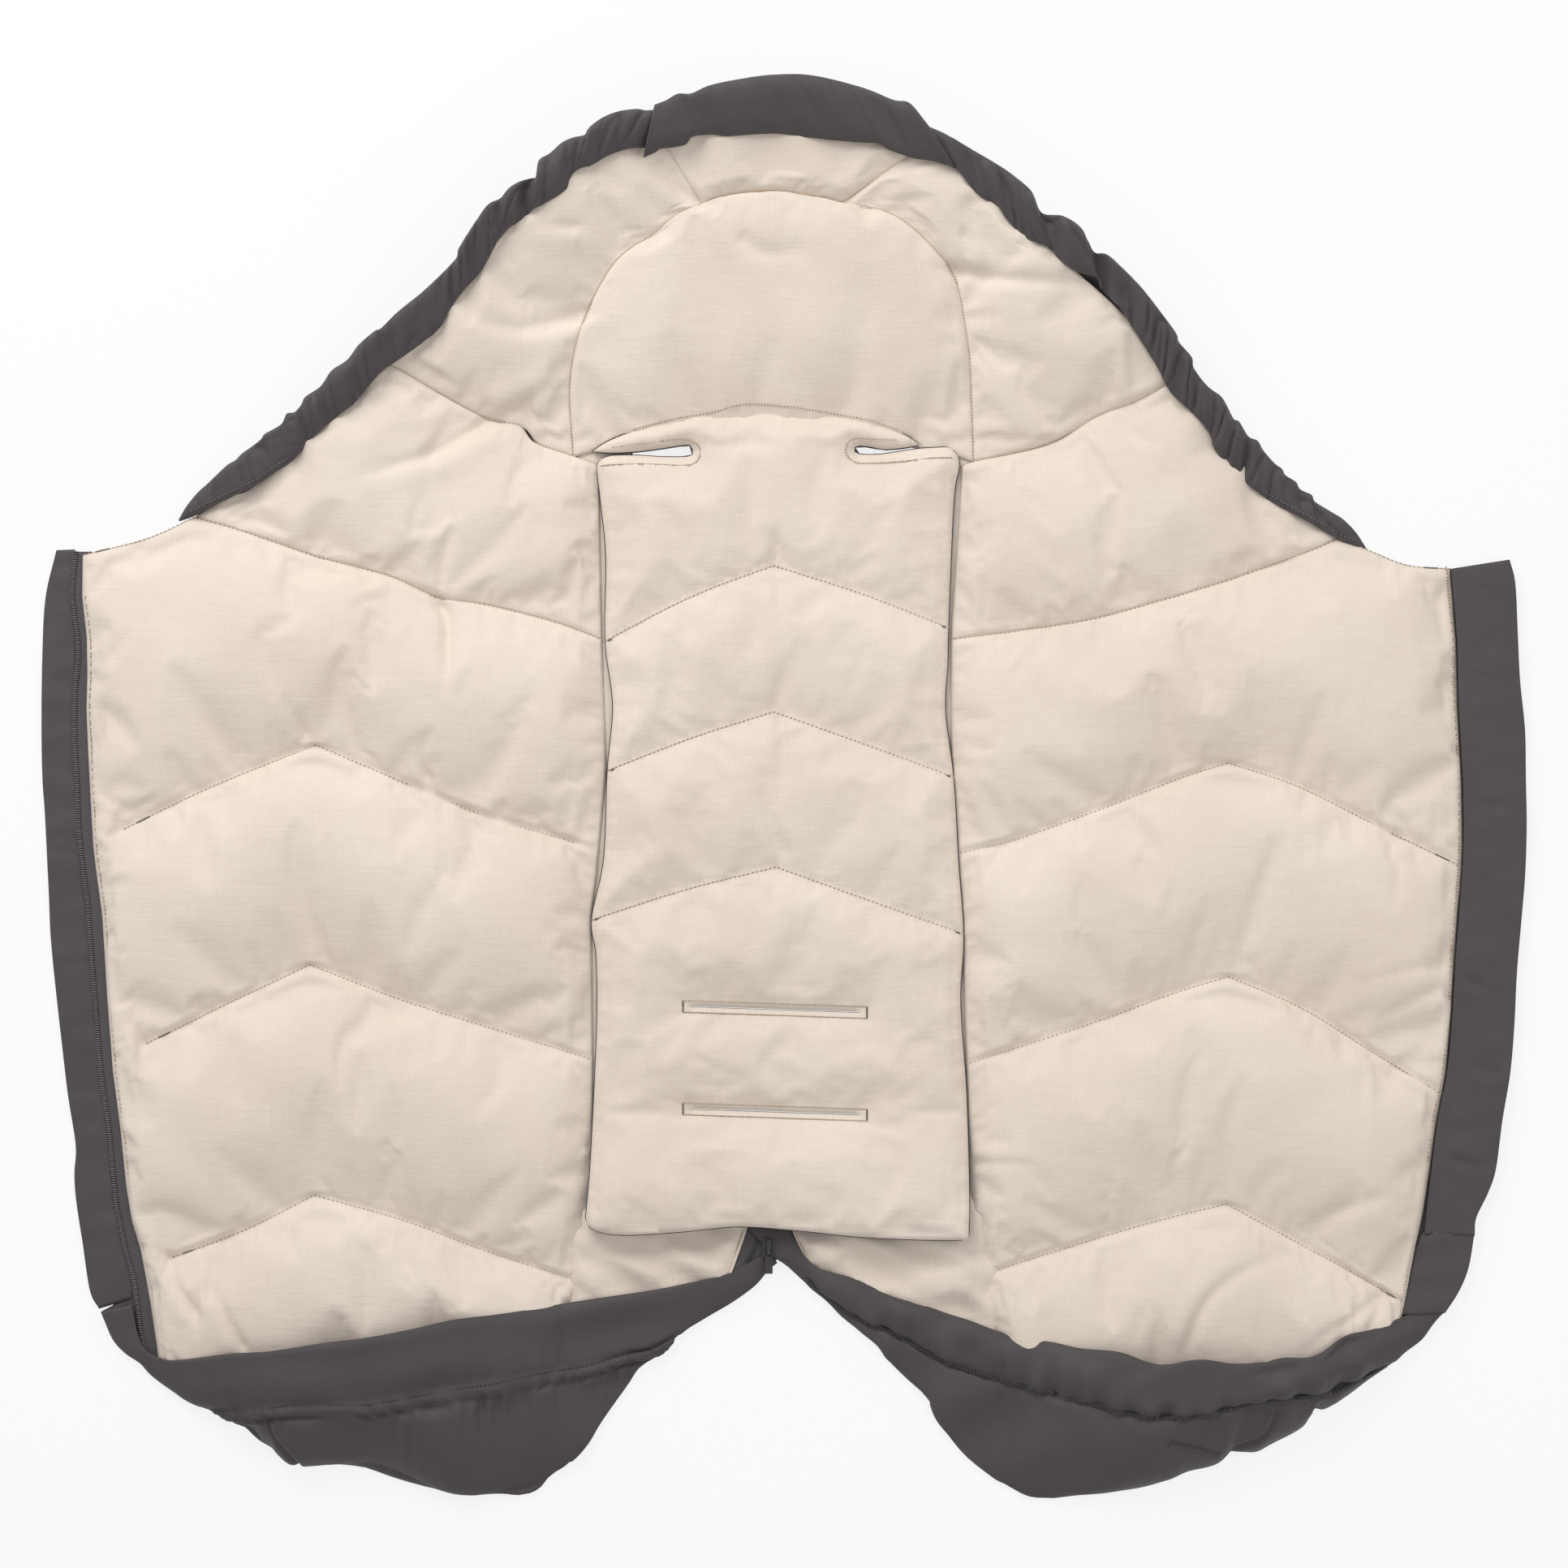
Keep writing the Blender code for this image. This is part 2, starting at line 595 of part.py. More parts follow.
def build_hood():
    for name, lines, across, along in (
        ("hood_lining_centre", HOOD_CENTRE, 12, 3),
        ("hood_lining_left", (HOOD_EDGE_LEFT, HOOD_SEAM_LEFT), 12, 6),
        ("hood_lining_right", (HOOD_SEAM_RIGHT, HOOD_EDGE_RIGHT), 12, 6),
        ("hood_top_insert", HOOD_INSERT, 3, 3),
    ):
        layer(
            name,
            lines,
            across,
            along,
            lambda p: hood_top(p.x, p.y) - SKIN,
            lambda p: hood_top(p.x, p.y),
            "lining_fabric",
        )
    layer(
        "hood_wadding",
        HOOD_SHELL,
        8,
        1,
        lambda p: bowl(p.x, p.y) + SHELL + GAP,
        lambda p: hood_top(p.x, p.y) - SKIN - HOOD_WADDING_GAP,
        "wadding",
        gap=WADDING_INSET,
    )
    layer(
        "hood_shell",
        HOOD_SHELL,
        8,
        1,
        lambda p: bowl(p.x, p.y),
        lambda p: bowl(p.x, p.y) + SHELL,
        "shell_fabric",
    )
    casing("casing_centre", CASING_CENTRE, CASING_WIDE, 10)
    casing("casing_left", CASING_LEFT, CASING_NARROW, 18)
    casing("casing_right", CASING_RIGHT, CASING_NARROW, 15)
    casing("left_casing_end", CASING_LEFT_END, CASING_NARROW, 10)
    casing("right_casing_end", CASING_RIGHT_END, CASING_RIGHT_TIP, 10)
    route = even_line(CASING_LEFT[1:] + CASING_CENTRE + CASING_RIGHT[:-1], 40)
    tube(
        "hood_elastic",
        [(x, y, bowl(x, y) + CASING_MIDDLE_HEIGHT) for x, y in route],
        ELASTIC_RADIUS,
        "elastic",
    )


def rounded_window(margin):
    """The outline of the harness window, grown by a margin."""
    half, low, high = WINDOW_HALF_WIDTH + margin, WINDOW_BOTTOM_Y - margin, WINDOW_TOP_Y + margin
    outline = []
    for corner_x, corner_y, start in (
        (half - WINDOW_CORNER, high - WINDOW_CORNER, 0),
        (WINDOW_CORNER - half, high - WINDOW_CORNER, 90),
        (WINDOW_CORNER - half, low + WINDOW_CORNER, 180),
        (half - WINDOW_CORNER, low + WINDOW_CORNER, 270),
    ):
        for step in range(5):
            angle = math.radians(start + 22.5 * step)
            outline.append((corner_x + WINDOW_CORNER * math.cos(angle), corner_y + WINDOW_CORNER * math.sin(angle)))
    return outline


def build_back():
    left = even_line(LEFT_NECK[1], 12)
    right = even_line(RIGHT_NECK[1], 12)
    fold = FOLD_X - BACK_FROM_FOLD
    outline = np.vstack(
        [[(-fold, BACK_TOP_Y)], left, right[::-1], [(fold, BACK_TOP_Y)]]
    )
    plate("back_shell", [outline, rounded_window(0)], 0, SHELL, "shell_fabric")
    rim_left = even_line(LEFT_NECK[0], 8) + np.array([0, GAP])
    rim_right = even_line(RIGHT_NECK[0], 8) + np.array([0, GAP])
    sides = [(-fold, BACK_LINING_SIDE_Y)], [(fold, BACK_LINING_SIDE_Y)]
    lower = np.vstack([sides[0], rim_left, rim_right[::-1], sides[1]])
    corner_x, corner_y = fold - BACK_LINING_CORNER[0], BACK_TOP_Y - BACK_LINING_CORNER[1]
    upper_edge = [(corner_x, corner_y), (-corner_x, corner_y)]
    plate(
        "back_lining",
        [np.vstack([lower, upper_edge]), rounded_window(1)],
        SHELL + GAP,
        BACK_PAD_TOP,
        "lining_fabric",
    )


def pad_underside(place):
    lifted = min(max((PAD_LIFT_START_Y - place.y) / PAD_LIFT_LENGTH, 0.0), 1.0)
    return PAD_UNDERSIDE + PAD_END_LIFT * lifted


def build_pad():
    def top(place):
        return pad_underside(place) + SEAM_HEIGHT + PAD_CROWN * pillow(place, PAD_PINCH)

    def on_backing(place):
        return pad_underside(place) + PAD_BACKING

    backing = layer("pad_backing", PAD, 6, 1, pad_underside, on_backing, "shell_fabric")
    wadding = layer(
        "pad_wadding",
        PAD[2:],
        6,
        2,
        lambda p: on_backing(p) + GAP,
        lambda p: pad_underside(p)
        + SEAM_HEIGHT
        - SKIN
        - 3 * GAP
        + WADDING_SHARE * PAD_CROWN * pillow(p, PAD_PINCH[2:]),
        "wadding",
        gap=WADDING_INSET,
    )
    lining = layer("pad_lining", PAD, 12, 4, lambda p: top(p) - SKIN, top, "lining_fabric")
    for number, centre in enumerate(SLOT_CENTRES_Y, 1):
        low = (SLOT_LEFT_X, centre - SLOT_HEIGHT / 2, -5)
        high = (SLOT_RIGHT_X, centre + SLOT_HEIGHT / 2, 60)
        cutter = box(f"slot_cutter_{number}", low, high, None, collection=cutters)
        for piece in (backing, wadding, lining):
            cut(piece, cutter)


def build_wing(side, shoulder_lines, wing_lines, pocket_lines, neck_lines):
    shoulder(side, shoulder_lines)
    quilted_stack(f"{side}_wing", wing_lines, 14, 4, WING_CROWN)
    wing_shell(side, wing_lines, pocket_lines)
    toe_pocket(side, pocket_lines, neck_lines)


def build_zip():
    layer("left_zip_tape", LEFT_TAPE, 16, 2, lambda p: SHELL + GAP, lambda p: SHELL + GAP + TAPE, "zip_tape")
    layer("right_zip_tape", RIGHT_TAPE, 16, 2, lambda p: SHELL + GAP, lambda p: SHELL + GAP + TAPE, "zip_tape")
    coil_height = SHELL + GAP + TAPE + GAP + COIL_RADIUS
    left = even_line(LEFT_TAPE[0], 24) + np.array([COIL_FROM_EDGE, 0])
    right = even_line(RIGHT_TAPE[1], 24) - np.array([COIL_FROM_EDGE, 0])
    tube("left_zip_coil", [(x, y, coil_height) for x, y in left], COIL_RADIUS, "zip_coil")
    tube("right_zip_coil", [(x, y, coil_height) for x, y in right], COIL_RADIUS, "zip_coil")
    toe_coil("right_toe_coil", RIGHT_POCKET, TOE_COIL_SHARES, pocket_height)
    toe_coil("right_neck_coil", RIGHT_NECK, NECK_COIL_SHARES, neck_height)
    toe_flap("left_toe_flap", LEFT_POCKET, TOE_FLAP_SHARES, pocket_height)
    toe_flap("left_neck_flap", LEFT_NECK, NECK_FLAP_SHARES, neck_height)
    layer("storm_flap", STORM_FLAP, 16, 2, lambda p: 0.0, lambda p: STORM_FLAP_THICKNESS, "shell_fabric")
    guard_low = coil_height + COIL_RADIUS + 2 * GAP
    guard_high = guard_low + STORM_FLAP_THICKNESS
    layer("zip_guard", ZIP_GUARD, 16, 2, lambda p: guard_low, lambda p: guard_high, "shell_fabric")


def build_zip_end():
    """The joined end of the zip under the pad's edge, its stop, the slider and the puller."""

    def beside_chain(name, half_width, y_range, z_range, finish, **options):
        low = (CHAIN_X - half_width, y_range[0], z_range[0])
        high = (CHAIN_X + half_width, y_range[1], z_range[1])
        return box(name, low, high, finish, **options)

    body_low = BACK_PAD_TOP + GAP
    chain_low = body_low + SLIDER_PLATE + GAP
    chain_high = chain_low + CHAIN_THICKNESS
    body_high = chain_high + GAP + SLIDER_PLATE
    low_y = SLIDER_CENTRE_Y - SLIDER_LENGTH / 2
    high_y = SLIDER_CENTRE_Y + SLIDER_LENGTH / 2
    pivot_y = high_y - PULLER_PIVOT_FROM_END
    puller_low = body_high + GAP
    puller_high = puller_low + PULLER_THICKNESS
    stop_y = CHAIN_HIGH_Y + GAP

    chain = (CHAIN_LOW_Y, CHAIN_HIGH_Y)
    beside_chain("zip_chain", CHAIN_HALF_WIDTH, chain, (chain_low, chain_high), "zip_coil", bevel=0.4)
    stop = (stop_y, stop_y + STOP_LENGTH)
    beside_chain("zip_bottom_stop", STOP_HALF_WIDTH, stop, (body_low, chain_high + GAP), "slider_metal", bevel=0.5)
    body = (body_low, body_high)
    slider = beside_chain("zip_slider", SLIDER_WIDTH / 2, (low_y, high_y), body, "slider_metal", bevel=0.6)
    channel = beside_chain(
        "slider_channel",
        SLIDER_CHANNEL_HALF,
        (low_y - 5, high_y + 5),
        (body_low + SLIDER_PLATE, chain_high + GAP),
        None,
        collection=cutters,
    )
    bridge = beside_chain(
        "slider_bridge",
        BRIDGE_HALF_WIDTH,
        (low_y + 2.0, high_y - 1.0),
        (body_high - 0.5, body_high + BRIDGE_HEIGHT),
        None,
        collection=cutters,
    )
    eye = beside_chain(
        "slider_eye",
        SLIDER_CHANNEL_HALF,
        (low_y + 3.6, high_y - 2.4),
        (body_high, body_high + BRIDGE_EYE_HEIGHT),
        None,
        collection=cutters,
    )
    cut(slider, channel)
    cut(slider, bridge, "UNION")
    cut(slider, eye)
    puller = beside_chain(
        "zip_puller",
        PULLER_WIDTH / 2,
        (pivot_y - PULLER_LENGTH, pivot_y + 0.6),
        (puller_low, puller_high),
        "slider_metal",
        bevel=0.3,
    )
    window = beside_chain(
        "puller_window",
        PULLER_WINDOW_HALF,
        (low_y + 0.8, pivot_y - 0.9),
        (puller_low - 1, puller_high + 1),
        None,
        collection=cutters,
    )
    cut(puller, window)
    run = hang("slider_run", (CHAIN_X, SLIDER_CENTRE_Y, body_low), (0, 1, 0), ["zip_slider"])
    pin = (CHAIN_X, pivot_y, puller_low + PULLER_THICKNESS / 2)
    hang("puller_hinge", pin, (1, 0, 0), ["zip_puller"], run)


def hang(name, at, toward, nodes, carrier=None):
    """An empty on a joint's axis, its own X along it, that carries the nodes which move there."""
    pivot = bpy.data.objects.new(name, None)
    parts.objects.link(pivot)
    turn = Vector(toward).to_track_quat("X", "Z")
    pivot.matrix_basis = Matrix.LocRotScale(Vector(at) * MM, turn, None)
    held = [(bpy.data.objects[node], pivot) for node in nodes]
    if carrier:
        held.append((pivot, carrier))
    for child, parent in held:
        child.parent = parent
        child.matrix_parent_inverse = parent.matrix_basis.inverted()
    return pivot


def hang_moving_pieces():
    carried = (
        "shoulder_lining shoulder_wadding shoulder_shell wing_lining wing_wadding wing_shell "
        "casing_end zip_tape zip_coil toe_pocket toe_lining"
    ).split()
    left = [f"left_{node}" for node in carried] + ["left_toe_flap"]
    right = [f"right_{node}" for node in carried] + ["right_toe_coil"]
    left_hinge = hang("left_wing_hinge", (-FOLD_X, 0, FOLD_HEIGHT), (0, 1, 0), left)
    right_hinge = hang("right_wing_hinge", (FOLD_X, 0, FOLD_HEIGHT), (0, -1, 0), right)
    for name, (start, end), carrier in (
        ("storm_flap", STORM_FLAP_HINGE, left_hinge),
        ("zip_guard", ZIP_GUARD_HINGE, right_hinge),
    ):
        hang(f"{name}_hinge", start, Vector(end) - Vector(start), [name], carrier)
    hang("pad_hinge", PAD_HINGE, (1, 0, 0), ["pad_backing", "pad_wadding", "pad_lining"])


for old in list(bpy.data.objects):
    bpy.data.objects.remove(old, do_unlink=True)
parts = new_collection("stroller_footmuff")
cutters = new_collection("cutters", hidden=True)
build_back()
build_hood()
build_wing("left", LEFT_SHOULDER, LEFT_WING, LEFT_POCKET, LEFT_NECK)
build_wing("right", RIGHT_SHOULDER, RIGHT_WING, RIGHT_POCKET, RIGHT_NECK)
build_pad()
build_zip()
build_zip_end()
hang_moving_pieces()
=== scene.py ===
# %% [markdown]
# # A stroller footmuff, laid open
# The real one is two skins of cloth with loose filling between them: dark softshell outside, cream cotton
# inside. It lies on its back, unzipped. We load the imported model as a fixed frame and make every cloth
# piece again around it; pieces that ride on a body are parented to it, the rest only have their placement
# baked in.

# %% Load the frame
import math

import bmesh
import bpy
import numpy as np
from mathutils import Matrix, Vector
from mathutils.geometry import delaunay_2d_cdt


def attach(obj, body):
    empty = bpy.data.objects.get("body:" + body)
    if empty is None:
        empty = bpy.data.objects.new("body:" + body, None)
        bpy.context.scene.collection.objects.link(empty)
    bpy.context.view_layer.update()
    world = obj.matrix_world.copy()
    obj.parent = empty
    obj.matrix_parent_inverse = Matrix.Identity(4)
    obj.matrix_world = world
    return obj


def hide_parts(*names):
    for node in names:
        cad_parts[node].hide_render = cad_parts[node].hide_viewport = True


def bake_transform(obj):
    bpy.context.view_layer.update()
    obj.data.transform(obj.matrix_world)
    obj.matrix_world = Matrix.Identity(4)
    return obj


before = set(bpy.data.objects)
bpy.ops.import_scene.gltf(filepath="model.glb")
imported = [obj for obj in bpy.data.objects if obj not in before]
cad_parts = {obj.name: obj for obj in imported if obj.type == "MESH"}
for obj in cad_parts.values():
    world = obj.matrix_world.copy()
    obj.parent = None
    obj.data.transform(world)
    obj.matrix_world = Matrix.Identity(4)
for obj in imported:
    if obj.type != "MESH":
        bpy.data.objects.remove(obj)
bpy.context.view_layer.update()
MM = 0.001

# %% [markdown]
# ## Camera, light and floor
# The product was photographed from straight above. A long lens keeps the edges free of perspective. One
# broad lamp stands at the hood's left and a weaker one at the right, so each quilted channel gets a light
# side and a shaded side. The floor is white to the camera but still takes a faint shadow.

# %% Camera, light and floor
CAMERA_HEIGHT = 3.0
FRAME_WIDTH = 1.0433
scene = bpy.context.scene
scene.view_settings.view_transform = "Standard"
camera_data = bpy.data.cameras.new("overhead_camera")
camera_data.sensor_width = 36
camera_data.lens = 36 * CAMERA_HEIGHT / FRAME_WIDTH
camera = bpy.data.objects.new("overhead_camera", camera_data)
camera.location = (0, 0, CAMERA_HEIGHT)
scene.collection.objects.link(camera)
scene.camera = camera

for name, place, size, power in (
    ("hood_side_lamp", (-0.9, 1.7, 1.5), 1.3, 36),
    ("far_side_lamp", (1.5, 0.3, 1.7), 1.8, 10),
):
    lamp_data = bpy.data.lights.new(name, "AREA")
    lamp_data.size = size
    lamp_data.energy = power
    lamp = bpy.data.objects.new(name, lamp_data)
    lamp.location = place
    lamp.rotation_euler = (-Vector(place)).to_track_quat("-Z", "Y").to_euler()
    scene.collection.objects.link(lamp)
print("camera", CAMERA_HEIGHT, "m up, lens", round(camera_data.lens, 1), "mm")

# %% [markdown]
# ## Shader arithmetic
# Patterns such as a weave are sums and products of waves. Wrapping a socket in a small class lets us
# write them as plain expressions, and each operator adds its Math node.


# %% Shader arithmetic
class Value:
    """A number's socket in a material; arithmetic on it adds Math nodes."""

    def __init__(self, finish, socket):
        self.finish = finish
        self.socket = socket

    def _math(self, operation, first, second):
        return self.finish.node("ShaderNodeMath", {"operation": operation}, {0: first, 1: second})

    def __add__(self, other):
        return self._math("ADD", self, other)

    def __radd__(self, other):
        return self._math("ADD", other, self)

    def __sub__(self, other):
        return self._math("SUBTRACT", self, other)

    def __rsub__(self, other):
        return self._math("SUBTRACT", other, self)

    def __mul__(self, other):
        return self._math("MULTIPLY", self, other)

    def __rmul__(self, other):
        return self._math("MULTIPLY", other, self)


class Finish:
    """A material whose pattern is added node by node."""

    def __init__(self, name, roughness, constants=()):
        self.material = bpy.data.materials.new(name)
        self.material.use_nodes = True
        self.tree = self.material.node_tree
        self.shader = self.tree.nodes["Principled BSDF"]
        self.shader.inputs["Roughness"].default_value = roughness
        for socket, value in dict(constants).items():
            self.shader.inputs[socket].default_value = value

    def node(self, kind, settings=None, inputs=None, output=0):
        node = self.tree.nodes.new(kind)
        for key, value in (settings or {}).items():
            setattr(node, key, value)
        for key, value in (inputs or {}).items():
            if isinstance(value, Value):
                self.tree.links.new(value.socket, node.inputs[key])
            else:
                node.inputs[key].default_value = value
        return Value(self, node.outputs[output])

    def place(self, scale=(1.0, 1.0, 1.0)):
        spot = self.node("ShaderNodeTexCoord", output="Object")
        return self.node("ShaderNodeMapping", {}, {"Vector": spot, "Scale": scale})

    def noise(self, place, scale, detail=2.0):
        return self.node("ShaderNodeTexNoise", {}, {"Vector": place, "Scale": scale, "Detail": detail})

    def waves(self, place, scale, direction):
        settings = {"wave_type": "BANDS", "bands_direction": direction}
        inputs = {"Vector": place, "Scale": scale, "Distortion": 0.0}
        return self.node("ShaderNodeTexWave", settings, inputs)

    def colour(self, amount, dark, light):
        mixed = {"data_type": "RGBA", "clamp_factor": True}
        inputs = {"Factor": amount, 6: (*dark, 1.0), 7: (*light, 1.0)}
        result = self.node("ShaderNodeMix", mixed, inputs, output=2)
        self.tree.links.new(result.socket, self.shader.inputs["Base Color"])

    def rough(self, value):
        self.tree.links.new(value.socket, self.shader.inputs["Roughness"])

    def bump(self, height, distance, strength=1.0):
        inputs = {"Height": height, "Distance": distance, "Strength": strength}
        self.tree.links.new(self.node("ShaderNodeBump", {}, inputs).socket, self.shader.inputs["Normal"])


# %% [markdown]
# ## Finishes
# The lining is a plain cotton weave: threads half a millimetre apart, thick and thin, with slightly uneven
# dye. The outside is a brushed softshell, almost smooth, with a fine diagonal twill. The zip has a ribbed
# tape and a hard shiny coil.

# %% Finishes
THREAD_SCALE = 520.0
TWILL_SCALE = 420.0


def make_lining():
    finish = Finish("cotton_lining", 0.88, {"Sheen Weight": 0.12, "Specular IOR Level": 0.3})
    place = finish.place()
    weave = finish.waves(place, THREAD_SCALE, "X") * 0.5 + finish.waves(place, THREAD_SCALE, "Y") * 0.5
    slubs = finish.noise(finish.place((60.0, 900.0, 60.0)), 1.0, 1.0) * 0.5
    slubs = slubs + finish.noise(finish.place((900.0, 60.0, 60.0)), 1.0, 1.0) * 0.5
    dye = finish.noise(place, 9.0, 3.0)
    tone = dye * 0.55 + slubs * 0.35 + weave * 0.10
    finish.colour((tone - 0.3) * 2.5, (0.700, 0.600, 0.510), (0.790, 0.700, 0.615))
    creases = finish.noise(finish.place((55.0, 80.0, 55.0)), 1.0, 4.0)
    finish.bump(weave * 0.12 + slubs * 0.5 + creases * 1.2, 0.0011, 0.55)
    finish.rough(0.82 + dye * 0.12)
    return finish.material


def make_softshell():
    finish = Finish("dark_softshell", 0.62, {"Sheen Weight": 0.08, "Specular IOR Level": 0.35})
    place = finish.place()
    twill = finish.waves(place, TWILL_SCALE, "DIAGONAL")
    brushed = finish.noise(place, 1400.0, 2.0)
    dye = finish.noise(place, 12.0, 3.0)
    finish.colour(dye * 0.7 + brushed * 0.3, (0.052, 0.043, 0.046), (0.086, 0.074, 0.079))
    creases = finish.noise(finish.place((60.0, 60.0, 60.0)), 1.0, 4.0)
    finish.bump(twill * 0.15 + brushed * 0.25 + creases * 1.5, 0.0010, 0.6)
    finish.rough(0.52 + brushed * 0.2)
    return finish.material


def make_plain(name, dark, light, roughness, scale=300.0, bump=0.3, constants=()):
    finish = Finish(name, roughness, constants)
    grain = finish.noise(finish.place(), scale, 2.0)
    finish.colour(grain, dark, light)
    finish.bump(grain, 0.0004, bump)
    finish.rough(grain * 0.2 + (roughness - 0.1))
    return finish.material


LINING = make_lining()
SOFTSHELL = make_softshell()
TAPE = make_plain("zip_tape_weave", (0.042, 0.036, 0.041), (0.110, 0.099, 0.106), 0.8, 900.0, 0.6)
COIL = make_plain("zip_coil_nylon", (0.040, 0.037, 0.039), (0.105, 0.099, 0.102), 0.32, 500.0, 0.1)
# The wings' coil shows its stitched back, and it is also made lighter than the toe's coil as painted light
# from the side lamp.
COIL_BACK_LIT = make_plain("zip_coil_stitching_and_painted_light", (0.085, 0.078, 0.082), (0.230, 0.210, 0.218), 0.55, 500.0, 0.3)
PAINT_LOOK = {"Metallic": 0.4}
METAL = make_plain("slider_paint", (0.045, 0.040, 0.042), (0.070, 0.063, 0.066), 0.45, 200.0, 0.1, PAINT_LOOK)
CREAM_THREAD = make_plain("cream_thread", (0.52, 0.42, 0.32), (0.66, 0.56, 0.46), 0.8, 500.0)
DARK_THREAD = make_plain("dark_thread", (0.105, 0.094, 0.098), (0.165, 0.150, 0.155), 0.7, 500.0)
RIDGE_THREAD = make_plain("ridge_thread", (0.016, 0.014, 0.016), (0.035, 0.031, 0.034), 0.7, 500.0)
KNOT_THREAD = make_plain("knot_thread", (0.10, 0.085, 0.08), (0.20, 0.17, 0.15), 0.8, 500.0)
ELASTIC = make_plain("covered_elastic", (0.70, 0.69, 0.66), (0.84, 0.83, 0.80), 0.75, 700.0, 0.6)

GLOW_SHARE = 0.82
FLOOR_COLOUR = (0.82, 0.82, 0.82, 1.0)
FLOOR_REACH = 6.0
FLOOR_DROP = 0.0006
DAYLIGHT = 0.58


def make_floor():
    """White to the camera and in reflections, with the share that is left taking light and shadow."""
    finish = Finish("studio_floor", 0.9, {"Base Color": FLOOR_COLOUR})
    rays = finish.tree.nodes.new("ShaderNodeLightPath")
    seen = Value(finish, rays.outputs["Is Camera Ray"]) + Value(finish, rays.outputs["Is Glossy Ray"])
    glow = finish.node("ShaderNodeEmission", {}, {"Color": (1, 1, 1, 1), "Strength": 1.0})
    lit = Value(finish, finish.shader.outputs[0])
    mixed = finish.node("ShaderNodeMixShader", {}, {0: seen * GLOW_SHARE, 1: lit, 2: glow})
    finish.tree.links.new(mixed.socket, finish.tree.nodes["Material Output"].inputs["Surface"])
    return finish.material


floor_mesh = bpy.data.meshes.new("studio_floor")
floor_bm = bmesh.new()
bmesh.ops.create_grid(floor_bm, x_segments=1, y_segments=1, size=FLOOR_REACH)
floor_bm.to_mesh(floor_mesh)
floor_bm.free()
floor = bpy.data.objects.new("studio_floor", floor_mesh)
floor.location.z = -FLOOR_DROP
scene.collection.objects.link(floor)
floor_mesh.materials.append(make_floor())

world = bpy.data.worlds.new("studio")
world.use_nodes = True
world.node_tree.nodes["Background"].inputs["Color"].default_value = (1, 1, 1, 1)
world.node_tree.nodes["Background"].inputs["Strength"].default_value = DAYLIGHT
scene.world = world
print("finishes:", ", ".join(sorted(material.name for material in bpy.data.materials)))

# %% [markdown]
# ## Curves and patches
# A pattern cutter draws a panel by its edges. Here too an edge is a smooth curve through a few measured
# points, in millimetres as laid flat. A patch is the grid of points between such edges.


# %% Curves and patches
def smoothstep(value):
    value = np.clip(value, 0.0, 1.0)
    return value * value * (3 - 2 * value)


def hump(value):
    """A bell curve: 1 at zero, and close to nothing from 2 on."""
    return np.exp(-(value**2))


def through(stops, counts):
    """A smooth curve through points, or through rows of points, with a number of steps to each span."""
    guides = [2 * stops[0] - stops[1], *stops, 2 * stops[-1] - stops[-2]]
    found = []
    for span, count in enumerate(counts):
        a, b, c, d = guides[span : span + 4]
        square, cube = 2 * a - 5 * b + 4 * c - d, 3 * b - a - 3 * c + d
        for t in np.arange(count) / count:
            found.append((2 * b + (c - a) * t + square * t**2 + cube * t**3) / 2)
    return np.array(found + [stops[-1]])


def smooth_points(points, steps):
    """Points on a smooth curve through the given ones, with this many steps to each span."""
    points = np.array(points, float)
    if len(points) == 2:
        points = np.array([points[0], points.mean(axis=0), points[1]])
    return through(points, [steps] * (len(points) - 1))


def even_line(points, steps, smooth=True):
    """A line through the points, cut into steps of one length."""
    fine = smooth_points(points, 16) if smooth else np.array(points, float)
    travelled = np.concatenate([[0], np.cumsum(np.linalg.norm(np.diff(fine, axis=0), axis=1))])
    stops = np.linspace(0, travelled[-1], steps + 1)
    return np.column_stack([np.interp(stops, travelled, fine[:, axis]) for axis in range(fine.shape[1])])


def line_length(points):
    return float(np.linalg.norm(np.diff(np.array(points, float), axis=0), axis=1).sum())


def run_of(points, pitch, smooth=True):
    return even_line(points, max(1, round(line_length(points) / pitch)), smooth)


def nearest(points, others):
    """Distance from each point to the nearest of the others."""
    best = np.full(len(points), 1e9)
    for start in range(0, len(others), 200):
        part = others[start : start + 200]
        gap = np.linalg.norm(points[:, None] - part[None], axis=2)
        best = np.minimum(best, gap.min(axis=1))
    return best


def rail(*parts):
    """A seam in parts, each points and a number of steps, so that unlike seams share their columns."""
    pieces = [even_line(points, steps) for points, steps in parts]
    return np.vstack([piece[:-1] for piece in pieces] + [pieces[-1][-1:]])


def off_lens(line, height):
    """A line read off the photograph, where it really lies: what is nearer to the lens looks further out."""
    return np.asarray(line, float) * (1 - np.asarray(height)[..., None] * MM / CAMERA_HEIGHT)


def ripple(x, y, seed, wave, count=7):
    """A soft random wave over the cloth, between about -1 and 1, with this wavelength in millimetres."""
    random = np.random.default_rng(seed)
    total = np.zeros_like(np.asarray(x, float))
    for _ in range(count):
        angle, phase = random.uniform(0, 2 * math.pi, 2)
        pitch = 2 * math.pi / (wave * random.uniform(0.7, 1.5))
        total = total + np.sin((np.cos(angle) * x + np.sin(angle) * y) * pitch + phase)
    return total / math.sqrt(count)


def relax(grid, held, times=60):
    """Evens out a patch between the rows that are held, so a corner in a seam fades inside the channel."""
    loose = ~held
    loose[:, 0] = loose[:, -1] = False
    for _ in range(times):
        mean = grid.copy()
        mean[1:-1, 1:-1] = (grid[:-2, 1:-1] + grid[2:, 1:-1] + grid[1:-1, :-2] + grid[1:-1, 2:]) / 4
        grid = np.where(loose[..., None], mean, grid)
    return grid


